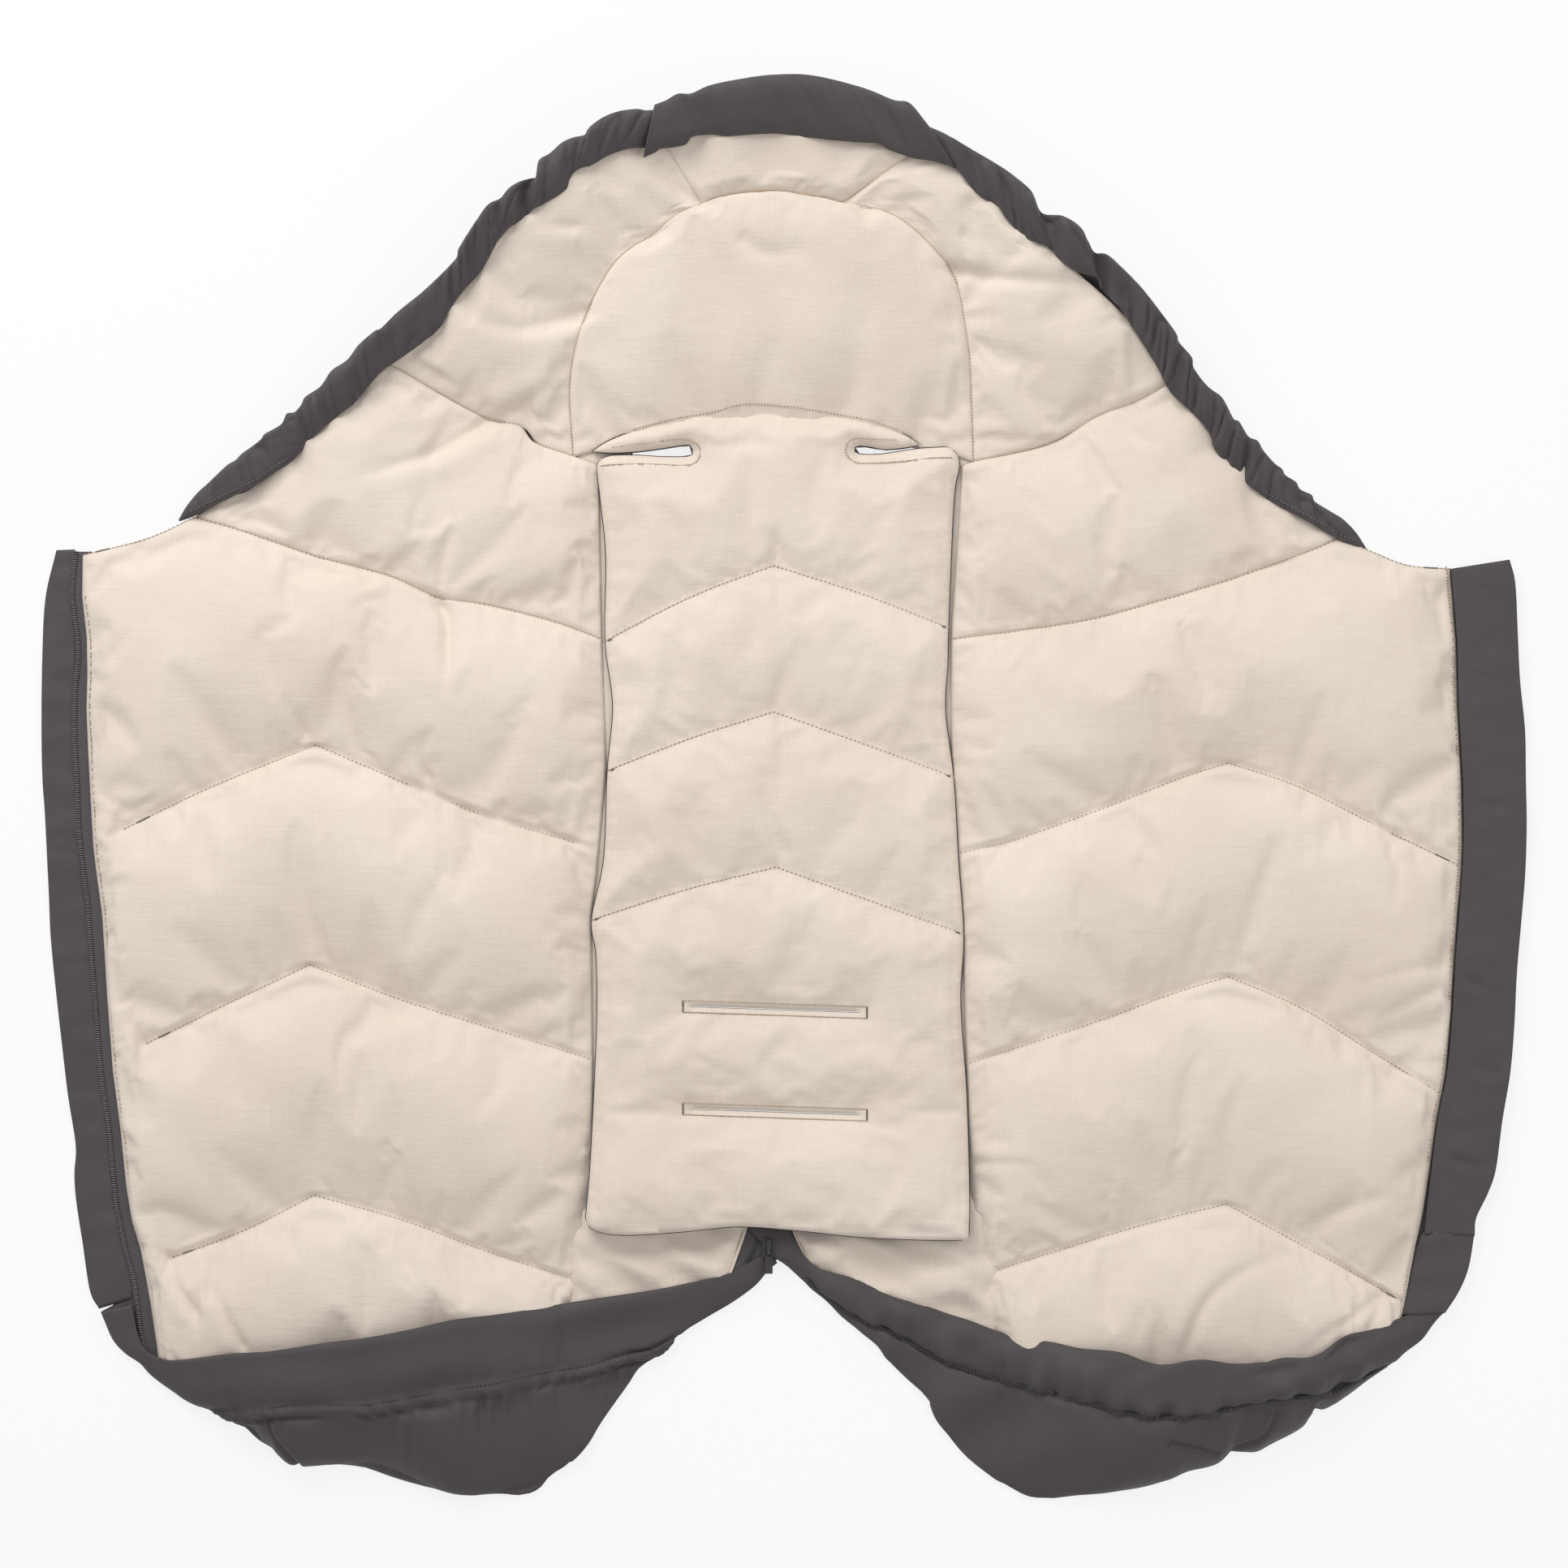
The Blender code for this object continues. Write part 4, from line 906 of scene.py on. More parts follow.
def inside(points, outline):
    """Which points lie inside a closed outline."""
    x, y = points[:, 0], points[:, 1]
    found = np.zeros(len(points), bool)
    for (x1, y1), (x2, y2) in zip(outline, np.roll(outline, -1, axis=0)):
        if y1 == y2:
            continue
        crosses = (y1 > y) != (y2 > y)
        found ^= crosses & (x < (x2 - x1) * (y - y1) / (y2 - y1) + x1)
    return found


EDGE_CLEARANCE = 0.62


def triangulate(outline, holes, lines, pitch):
    """Points and triangles that fill an outline round its holes, with an edge along every line."""
    loops = [outline, *holes]
    fixed, edges = [], []
    for loop in loops:
        first = len(fixed)
        fixed.extend(map(tuple, loop))
        edges.extend((first + i, first + (i + 1) % len(loop)) for i in range(len(loop)))
    for line in lines:
        first = len(fixed)
        fixed.extend(map(tuple, line))
        edges.extend((first + i, first + i + 1) for i in range(len(line) - 1))
    fixed = np.array(fixed)
    low, high = outline.min(axis=0), outline.max(axis=0)
    step_y = pitch * math.sqrt(3) / 2
    rows = np.arange(low[1], high[1], step_y)
    lattice = []
    for number, row in enumerate(rows):
        xs = np.arange(low[0] + (number % 2) * pitch / 2, high[0], pitch)
        lattice.append(np.column_stack([xs, np.full(len(xs), row)]))
    lattice = np.vstack(lattice)
    kept = inside(lattice, outline)
    for hole in holes:
        kept &= ~inside(lattice, hole)
    lattice = lattice[kept]
    lattice = lattice[nearest(lattice, fixed) > EDGE_CLEARANCE * pitch]
    points = np.vstack([fixed, lattice])
    verts, _, faces, *_ = delaunay_2d_cdt([Vector(p) for p in points], edges, [], 0, 1e-4)
    found = np.array([tuple(v) for v in verts])
    faces = np.array([face for face in faces if len(face) == 3])
    middle = found[faces].mean(axis=1)
    good = inside(middle, outline)
    for hole in holes:
        good &= ~inside(middle, hole)
    faces = faces[good]
    used = np.unique(faces)
    renumber = np.full(len(found), -1)
    renumber[used] = np.arange(len(used))
    return found[used], renumber[faces]


def closed_sheet(name, flat, faces, low, high, material):
    """A cloth piece: its triangles at the upper height and at the lower one, and a wall round every edge."""
    count = len(flat)
    points = np.vstack([np.column_stack([flat, high]), np.column_stack([flat, low])])
    every = np.vstack([faces[:, [0, 1]], faces[:, [1, 2]], faces[:, [2, 0]]])
    edges = dict.fromkeys(map(tuple, every.tolist()))
    walls = [(a, a + count, b + count, b) for a, b in edges if (b, a) not in edges]
    polygons = faces.tolist() + (faces[:, ::-1] + count).tolist() + walls
    return mesh_object(name, points, polygons, material)


def ride_or_bend(piece, where):
    """A side's name only bakes the piece's placement in; any other name is a body that it rides on."""
    if where in SIDES:
        bend_with(piece)
    else:
        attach(piece, where)


# %% [markdown]
# ## Seat pad
# The pad hangs from the hood's edge between two keyhole slits for the shoulder straps. Its outline, slits
# and the two strap slots are cut first; chevrons and a box of stitching round each slot hold it flat, and
# the cloth between them is blown up a little, far less than the wings. A dark backing shows at its edges.

# %% Seat pad
PAD_UNDERSIDE = 5.0
PAD_LIFT_START_Y = -217.0
PAD_LIFT_LENGTH = 83.0
PAD_END_LIFT = 13.5
PAD_PITCH = 3.6
SLOT_LEFT_X, SLOT_RIGHT_X = -67.0, 55.0
SLOT_MIDDLE_X = (SLOT_LEFT_X + SLOT_RIGHT_X) / 2
SLOT_CENTRES_Y = (-149.5, -217.5)
SLOT_HALF = 0.45
SLOT_STITCH = 3.4
SLOT_INSET = 5.0
SLOT_TILT = -0.034
PAD_RUNS = (
    [
        (-131, -287), (-127, -294), (-108, -298), (-69, -296), (-30.5, -292.5), (8.5, -295), (47.5, -299),
        (86.5, -301), (119, -301), (122, -298),
    ],
    [
        (122, -298), (122.5, -270), (121, -206), (117, -144), (119, -101), (115.5, -50), (112.5, 3),
        (107, 48), (108.5, 80), (109, 104), (112.5, 187), (116, 209), (115.5, 217), (111.5, 222),
        (107, 223.5),
    ],
    [
        (107, 223.5), (89.3, 222.4), (78, 220.8), (64, 218.7), (52, 218.6), (47.5, 219.8), (46.4, 222),
        (48.3, 224.5), (57, 223.9), (66.7, 222.2), (80, 223.3), (89.3, 225),
    ],
    [
        (89.3, 225), (80.7, 231), (58.5, 239), (47, 241.5), (29, 244), (-3, 245.5), (-48, 245),
        (-62.8, 243.5), (-72.5, 240.8), (-97.5, 234.4), (-116, 227.5), (-127, 220.8),
    ],
    [
        (-127, 220.8), (-115, 219.9), (-97, 220.8), (-80, 223), (-65, 225.2), (-61.5, 224), (-60.5, 220.8),
        (-62.5, 217.4), (-80, 217), (-97, 218), (-112, 217.9), (-118.5, 216.8), (-122.5, 214), (-124, 209),
        (-121.5, 187), (-118, 150), (-118.5, 95), (-113.5, 52), (-117, 9), (-119.5, -50), (-127.5, -90),
        (-124.5, -114), (-124, -155), (-126, -207), (-128.5, -257), (-131, -287),
    ],
)
PAD_CHEVRONS = (
    [(-118.5, 95), (-62, 124), (-7, 145), (52, 126), (109, 104)],
    [(-117, 9), (-60, 31), (-7, 48), (52, 27), (112.3, 5)],
    [(-127.5, -90), (-65, -70), (-5, -55), (56, -77), (118.6, -99)],
)
PAD_EDGE_RISE = 3.0
PAD_SEAM_RISE = 4.2
PAD_CROWN = 6.5
THINNEST_PAD, BACKING_ROOM, PAD_FILL = 2.2, 1.0, 0.4


def pad_under(y):
    lifted = np.clip((PAD_LIFT_START_Y - y) / PAD_LIFT_LENGTH, 0, 1)
    return PAD_UNDERSIDE + PAD_END_LIFT * lifted + 1.7 * smoothstep((y - 222) / 10)


def box_loop(centre_y, inset, half, pitch):
    """The outline of a strap slot or of its stitching, which slopes a little on the photograph."""
    low_x, high_x = SLOT_LEFT_X + inset, SLOT_RIGHT_X - inset
    low_y, high_y = centre_y - half, centre_y + half
    corners = [(low_x, low_y), (high_x, low_y), (high_x, high_y), (low_x, high_y)]
    corners = [(x, y + SLOT_TILT * (x - SLOT_MIDDLE_X)) for x, y in corners]
    sides = zip(corners, corners[1:] + corners[:1])
    return np.vstack([run_of([a, b], pitch, False)[:-1] for a, b in sides])


def chevron(points):
    """A chevron's two arms, each straight but for a slight sag, meeting in its point."""
    left = run_of(points[:3], PAD_PITCH)
    return np.vstack([left[:-1], run_of(points[2:], PAD_PITCH)])


def bend_pad(piece):
    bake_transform(piece)


pad_outline = loop_of(PAD_RUNS, PAD_PITCH)
pad_slots = [box_loop(y, SLOT_INSET, SLOT_HALF, PAD_PITCH) for y in SLOT_CENTRES_Y]
slot_boxes = [box_loop(y, 0, SLOT_HALF + SLOT_STITCH, PAD_PITCH) for y in SLOT_CENTRES_Y]
chevrons = [chevron(points) for points in PAD_CHEVRONS]
slot_loops = [np.vstack([loop, loop[:1]]) for loop in slot_boxes]
seams_inside = [line[1:-1] for line in chevrons] + slot_loops
flat, pad_faces = triangulate(pad_outline, pad_slots, seams_inside, PAD_PITCH)
x, y = flat[:, 0], flat[:, 1]
to_edge = nearest(flat, np.vstack([pad_outline, *pad_slots]))
to_seam = nearest(flat, np.vstack(seams_inside))
on_edge, on_seam = to_edge < 0.05, to_seam < 0.05
reach = np.minimum(to_edge / 30, to_seam / 34)
full = 1 - (1 - np.clip(reach, 0, 1)) ** 2
height = pad_under(y) + PAD_EDGE_RISE + (PAD_SEAM_RISE - PAD_EDGE_RISE) * np.clip(to_edge / 10, 0, 1)
height += PAD_CROWN * full + 0.6 * full * ripple(x, y, 41, 55)
pad_top = inflate(np.column_stack([flat, height]), pad_faces.tolist(), on_edge | on_seam, 1.8, 0.012, 7.0)
pad_top = press(pad_top, lambda x, y: pad_under(y) + THINNEST_PAD)
pad_low = pad_under(pad_top[:, 1]) + BACKING_ROOM
seat_pad = closed_sheet("seat_pad_quilt", pad_top[:, :2], pad_faces, pad_low, pad_top[:, 2], LINING)
bend_pad(seat_pad)
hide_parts("pad_lining", "pad_wadding")
print("seat pad", len(pad_top), "points, top", round(pad_top[:, 2].max(), 1))

BACKING_OUT = 0.7
BACKING_THICKNESS = 0.8


def grown(outline, margin):
    """An outline moved outwards by a margin, for one that runs anticlockwise."""
    ahead = np.roll(outline, -1, axis=0) - np.roll(outline, 1, axis=0)
    ahead /= np.maximum(np.linalg.norm(ahead, axis=1, keepdims=True), 1e-9)
    return outline + margin * np.column_stack([ahead[:, 1], -ahead[:, 0]])


backing_slots = [box_loop(y, SLOT_INSET, 0.25, 6.0) for y in SLOT_CENTRES_Y]
flat, faces = triangulate(grown(pad_outline[::2], BACKING_OUT), backing_slots, [], 8.0)
low = pad_under(flat[:, 1])
backing = closed_sheet("seat_pad_backing", flat, faces, low, low + BACKING_THICKNESS, SOFTSHELL)
bend_pad(backing)
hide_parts("pad_backing")
declare_sheet(backing)


def lift_to_pad(line, rise=0.35):
    """Puts a flat line on the finished pad's top."""
    gaps = np.linalg.norm(line[:, None] - pad_top[None, :, :2], axis=2)
    return np.column_stack([line, pad_top[gaps.argmin(axis=1), 2] + rise])


stitch_paths["pad"] = [lift_to_pad(line) for line in chevrons]
stitch_paths["pad_slots"] = [lift_to_pad(loop) for loop in slot_loops]
SLIT_STITCHES = (
    [
        (-121, 211), (-112.7, 211.7), (-91.5, 212.2), (-67.4, 211.4), (-59, 213), (-55.5, 219.6),
        (-58.5, 226), (-70, 228.4), (-99, 224.8), (-113, 223.4),
    ],
    [
        (111, 216.4), (98, 216), (80, 214), (54.6, 212.6), (46, 214), (41, 219.5), (43, 227), (48.8, 229),
        (62, 228.2), (74, 228),
    ],
)
ARC_STITCH = [
    (-127, 221.8), (-116, 228.7), (-97.5, 235.6), (-72.5, 242), (-48, 246.2), (-26, 251.4), (-3, 250.4),
    (29, 246.2), (58.5, 240.6), (81, 232.4), (91, 226),
]
stitch_paths["pad_slits"] = [lift_to_pad(run_of(line, 2.0)) for line in SLIT_STITCHES]

# %% [markdown]
# ## The back
# Under the pad lies the back, dark outside and cream inside, with a window for the stroller's harness. Most
# of its lining is hidden. The two wedges that show below the pad are creased where the pockets pull on them,
# so there the lining is puffed up as the quilts are.

# %% The back
SHELL = 1.1
SHELL_WAVE, SHELL_WAVE_LENGTH = 0.25, 45
SHELL_PITCH = 5.0
ON_SHELL = 1.75
TOE_RIM = {
    "left": (
        ([
            (-434, -346.5), (-430, -366), (-424, -377.5), (-411.5, -382.9), (-402, -383.2),
            (-384.5, -381.2), (-368.8, -379.1), (-344.5, -377.5),
        ], 60),
        ([
            (-344.5, -377.5), (-305.6, -372.1), (-279.2, -368.8), (-247.9, -362.9), (-219.8, -356.4),
            (-192.2, -352.9),
        ], 96),
        ([(-192.2, -352.9), (-164.2, -349.2), (-145.8, -346.1)], 30),
        ([(-145.8, -346.1), (-128, -343.2), (-112.3, -340.7)], 24),
        ([
            (-112.3, -340.7), (-82.6, -336.2), (-56.7, -330.5), (-38.1, -326.2), (-28, -321), (-19.4, -316),
            (-8, -309),
        ], 62),
    ),
    "right": (
        ([
            (428, -349), (408.2, -357.5), (377.5, -367.7), (356.4, -378.3), (337.9, -382.9),
            (321.3, -386.9),
        ], 64),
        ([(321.3, -386.9), (295.8, -385.6), (263, -385.6), (230, -381.2), (194.9, -375.8)], 76),
        ([(194.9, -375.8), (176.3, -371.5), (164.7, -371.3), (145, -365)], 28),
        ([(145, -365), (129.6, -360.7), (104.8, -351.9)], 26),
        ([
            (104.8, -351.9), (73.4, -340.7), (45.4, -329.6), (23.2, -321.3), (12.2, -312.9), (5.6, -298.1),
            (3.5, -288.5),
        ], 68),
    ),
}
TOE_END = {
    "left": (
        ([
            (-453.5, -350.5), (-447, -368), (-437.9, -378), (-428.2, -385), (-419.6, -394.2),
            (-401.2, -407.2), (-387.2, -414.2), (-372.6, -419.6), (-365, -425.5), (-360.2, -426.3),
            (-349.9, -435.8), (-340.7, -441.2), (-331.6, -448.2), (-327.8, -449.8),
        ], 60),
        ([
            (-327.8, -449.8), (-320.2, -449.8), (-305.6, -450.4), (-291.6, -452.5), (-275.7, -455.2),
            (-264.6, -459.5), (-238.7, -467.1), (-210.6, -471.4), (-186.3, -472),
        ], 96),
        ([
            (-186.3, -472), (-177.1, -473), (-167.9, -471.4), (-162.3, -468.2), (-156.1, -460.6),
            (-149, -455.2), (-143.6, -449.6),
        ], 30),
        ([
            (-143.6, -449.6), (-141.5, -448.7), (-125.5, -429.8), (-112.5, -411.5), (-103.1, -398.5),
            (-96.7, -387.7),
        ], 24),
        ([
            (-96.7, -387.7), (-82.6, -379.6), (-77.2, -374.2), (-69.7, -365.9), (-52.9, -355.6),
            (-32.4, -343.4), (-19.4, -333.2), (-10.3, -322.9), (-4.5, -318.5),
        ], 62),
    ),
    "right": (
        ([
            (440, -349), (428.8, -360), (420.7, -369.4), (408.2, -382), (389.3, -395.5), (373, -407.7),
            (358.9, -415.8), (351.9, -415.2), (344.9, -427.4), (323.8, -439), (314.3, -443.9),
            (305.1, -443.9), (295.8, -442.6),
        ], 64),
        ([
            (295.8, -442.6), (286.2, -449.7), (267.6, -455.1), (253.6, -462.6), (234.9, -468.2),
            (202, -472), (178.7, -475),
        ], 76),
        ([(178.7, -475), (162.3, -473.6), (146, -465)], 28),
        ([(146, -465), (138.8, -461.2), (119.9, -446), (105.8, -427.4), (98.6, -409.6)], 26),
        ([
            (98.6, -409.6), (82.6, -396.4), (69.7, -383.4), (62.3, -372.4), (40, -355.6), (28.9, -344.5),
            (15.7, -333.2), (1, -317.5), (-8.3, -311), (-14.9, -303.5), (-21, -296.5), (-27, -288.5),
        ], 68),
    ),
}
WINDOW_HALF_WIDTH, WINDOW_LOW_Y, WINDOW_HIGH_Y, WINDOW_CORNER = 101.0, -242.0, 226.0, 8.0
WEDGE_TOP_Y = -268.0


def window_loop(margin, pitch):
    half, low, high = WINDOW_HALF_WIDTH + margin, WINDOW_LOW_Y - margin, WINDOW_HIGH_Y + margin
    corners = []
    for x, y, start in (
        (half - WINDOW_CORNER, high - WINDOW_CORNER, 0),
        (WINDOW_CORNER - half, high - WINDOW_CORNER, 90),
        (WINDOW_CORNER - half, low + WINDOW_CORNER, 180),
        (half - WINDOW_CORNER, low + WINDOW_CORNER, 270),
    ):
        angles = np.radians(start + np.linspace(0, 90, 6))
        arc = WINDOW_CORNER * np.column_stack([np.cos(angles), np.sin(angles)])
        corners.append(arc + (x, y))
    ring = np.vstack(corners)
    runs = [run_of([ring[i], ring[(i + 1) % len(ring)]], pitch, False)[:-1] for i in range(len(ring))]
    return np.vstack(runs)


def shell_piece(name, outline, holes, where, nodes, seed):
    """A flat piece of the dark outside, with the slight waves that cloth keeps when it is laid down."""
    flat, faces = triangulate(outline, holes, [], SHELL_PITCH)
    x, y = flat.T
    low = bowl(x, y) + SHELL_WAVE * (1 + np.clip(ripple(x, y, seed, SHELL_WAVE_LENGTH), -1, 1))
    piece = closed_sheet(name, flat, faces, low, low + SHELL, SOFTSHELL)
    ride_or_bend(piece, where)
    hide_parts(*nodes)
    declare_sheet(piece)
    return piece


FOLD_X = 143.6
COVER_RIM = 40.0
ZIP_CORNER_HEIGHT, POCKET_FOLD_HEIGHT, NECK_DROP = 7.5, 11.0, 3.0
POCKET_FOLD_X = 147.0
NECK_END_X = {"left": 16.0, "right": 4.0}
ZIP_CORNER_X = {"left": 418.0, "right": 411.0}


def rim_height(x, side):
    """Height of the pocket's rim: highest in its middle, low at the zip, at the fold and at the notch."""
    away = np.abs(x)
    u = np.clip((ZIP_CORNER_X[side] - away) / (ZIP_CORNER_X[side] - POCKET_FOLD_X), 0, 1)
    ends = ZIP_CORNER_HEIGHT + (POCKET_FOLD_HEIGHT - ZIP_CORNER_HEIGHT) * u
    pocket = ends + (COVER_RIM - ends) * np.sin(math.pi * u) ** 0.9
    down = np.clip((POCKET_FOLD_X - away) / (POCKET_FOLD_X - NECK_END_X[side]), 0, 1)
    return np.where(away > POCKET_FOLD_X, pocket, POCKET_FOLD_HEIGHT - NECK_DROP * down)


rim_lines = {}
for side in SIDES:
    rim = rail(*TOE_RIM[side])
    rim_lines[side] = off_lens(rim, rim_height(rim[:, 0], side))
toe_lines = {side: rail(*TOE_END[side]) for side in SIDES}
NOTCH_POINT = (-16, -304)


def part_of(line, low, high, pitch):
    """The part of a line whose distance from the middle lies between two values, at an even pitch."""
    away = line[:, 0] * np.sign(line[0, 0])
    return run_of(line[(away >= low) & (away <= high)], pitch)


toe_left, toe_right = (part_of(toe_lines[side], 18, FOLD_X - 1, 8.0) for side in SIDES)
BACK_HALF, BACK_TOP = 143, 235
BACK_TOE_Y = {"left": -446, "right": -462}
OUTLINE_PITCH = 9.0
back_outline = np.vstack([
    run_of([(-BACK_HALF, BACK_TOP), (-BACK_HALF, BACK_TOE_Y["left"])], OUTLINE_PITCH, False)[:-1],
    toe_left,
    [NOTCH_POINT],
    toe_right[::-1][:-1],
    run_of([(BACK_HALF, BACK_TOE_Y["right"]), (BACK_HALF, BACK_TOP)], OUTLINE_PITCH, False),
    run_of([(BACK_HALF, BACK_TOP), (-BACK_HALF, BACK_TOP)], OUTLINE_PITCH, False)[1:-1],
])
shell_piece("back_outer", back_outline, [window_loop(0, OUTLINE_PITCH)], "back", ["back_shell"], 51)

BEHIND_RIM = np.array([0, 8.0])
BACK_PITCH = 5.0
LINING_HALF, LINING_SIDE_TOP, LINING_CORNER = 142.6, 214, (121, 229)
LINING_TOP, LOWEST_LINING = 2.9, 2.5
WEDGE_PUFF, WEDGE_RIPPLE, WEDGE_RISE, WEDGE_FADE = 4.6, 2.8, 1.2, 22
# The notch's sides, as y and x of each one's lower and upper end.
NOTCH_LEFT = ((-326, -37), (-291, -24.5))
NOTCH_RIGHT = ((-315, 14.2), (-291, 5.4))
NOTCH_TOP, NOTCH_SIDE_RISE = 4.4, 8.1
rim_left, rim_right = (part_of(rim_lines[side], 8, 142, BACK_PITCH) - BEHIND_RIM for side in SIDES)
corner_x, corner_y = LINING_CORNER
right_top = [(LINING_HALF, LINING_SIDE_TOP), LINING_CORNER]
left_top = [(-corner_x, corner_y), (-LINING_HALF, LINING_SIDE_TOP)]
lining_outline = np.vstack([
    run_of([left_top[1], (-LINING_HALF, rim_left[0][1])], BACK_PITCH, False)[:-1],
    rim_left,
    rim_right[::-1][:-1],
    run_of([(LINING_HALF, rim_right[0][1]), right_top[0]], BACK_PITCH, False)[:-1],
    run_of(right_top + left_top, BACK_PITCH, False)[:-1],
])
flat, faces = triangulate(lining_outline, [window_loop(0.8, BACK_PITCH)], [], BACK_PITCH)
x, y = flat[:, 0], flat[:, 1]
border = nearest(flat, lining_outline)
wedge = smoothstep((WEDGE_TOP_Y - y) / WEDGE_FADE)
puff = wedge * np.clip(border / WEDGE_FADE, 0, 1) ** 0.6
puff *= WEDGE_PUFF + WEDGE_RIPPLE * ripple(0.6 * x + 0.5 * y, y, 53, 26)
height = LINING_TOP + puff + WEDGE_RISE * wedge
held = (border < 0.05) | (y > WEDGE_TOP_Y)
top = inflate(np.column_stack([flat, height]), faces.tolist(), held, 1.6, 0.025, 5.0)
notch_left = np.interp(y, *zip(*NOTCH_LEFT))
notch_right = np.interp(y, *zip(*NOTCH_RIGHT))
beside_notch = smoothstep(np.maximum(notch_left - x, x - notch_right) / 5)
highest = NOTCH_TOP + NOTCH_SIDE_RISE * beside_notch
top[:, 2] = np.minimum(np.maximum(top[:, 2], LOWEST_LINING), highest)
low = np.full(len(top), ON_SHELL)
back_lining = closed_sheet("back_inner", top[:, :2], faces, low, top[:, 2], LINING)
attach(back_lining, "back")
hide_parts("back_lining")

# %% [markdown]
# ## Outer shells of wings and hood
# Seen from behind, the footmuff is one smooth dark skin. It is cut at the fold lines, where the back ends.

# %% Outer shells
WING_OUTLINE = {
    "left": (
        [(-143.6, 214), (-203, 243), (-261.3, 278.0)],
        [(-261.3, 278.0), (-325.0, 232.3), (-392, 177)],
        [(-392, 177), (-422, 162.5), (-460, 151)],
        [(-460, 151), (-472, 153.5)],
        [(-472, 153.5), (-472, 60), (-470, 0), (-458, -153), (-445, -273), (-438, -310), (-436, -338)],
        [(-436, -338), (-452.5, -351.5)],
        [*toe_lines["left"][toe_lines["left"][:, 0] < -FOLD_X]],
        [(-143.6, -449.6), (-143.6, 214)],
    ),
    "right": (
        [(143.6, -463), *toe_lines["right"][toe_lines["right"][:, 0] > FOLD_X + 1][::-1]],
        [
            (440, -349), (447, -337), (453.5, -321), (457.5, -304), (463, -240), (468, -100), (470, 0),
            (464, 100), (462, 141), (442, 143),
        ],
        [(442, 143), (415, 145), (391, 154), (369, 163)],
        [(369, 163), (311.0, 215.6), (257.2, 266.3)],
        [(257.2, 266.3), (205, 238), (143.6, 216)],
        [(143.6, 216), (143.6, -460)],
    ),
}
HOOD_LEFT_TOP = (-143.6, 409.5)
HOOD_RIGHT_TOP = (143.6, 389.0)
HOOD_OUTLINE = {
    "left": (
        [(-143.6, 217), (-143.6, 409.5)],
        [HOOD_LEFT_TOP, (-164, 394), (-202, 352), (-234, 313), (-261.3, 278.0)],
        [(-261.3, 278.0), (-203, 243), (-143.6, 217)],
    ),
    "right": (
        [(143.6, 219), (205, 240), (257.2, 266.3)],
        [(257.2, 266.3), (235, 307), (198, 341), (163, 372), HOOD_RIGHT_TOP],
        [HOOD_RIGHT_TOP, (143.6, 219)],
    ),
    "back": (
        [(-143, 237.5), (143, 237.5)],
        [(143, 237.5), (143, 389)],
        [
            (143, 389), (136, 396), (110, 415), (88, 421), (55, 433), (-7, 440), (-56, 436), (-82, 428),
            (-109, 423), (-140, 412), (-143, 409.5),
        ],
        [(-143, 409.5), (-143, 237.5)],
    ),
}
for side in SIDES:
    nodes = [f"{side}_wing_shell", f"{side}_shoulder_shell"]
    shell_piece(f"{side}_outer", loop_of(WING_OUTLINE[side], 8.0), [], side, nodes, 55 + SIDES[side])
for where, runs in HOOD_OUTLINE.items():
    shell_piece(f"hood_outer_{where}", loop_of(runs, 8.0), [], where, ["hood_shell"], 57)


# %% [markdown]
# ## Gathered casing
# A tunnel of shell cloth round the hood holds the elastic, which draws its sides up into irregular ruffles,
# while the middle piece is sewn flat and laps over them. Both edges of each piece were read off the
# photograph. Wherever the outer edge stands out or dips, a fold runs across the tunnel, so the folds are
# made from the edge's own waviness.

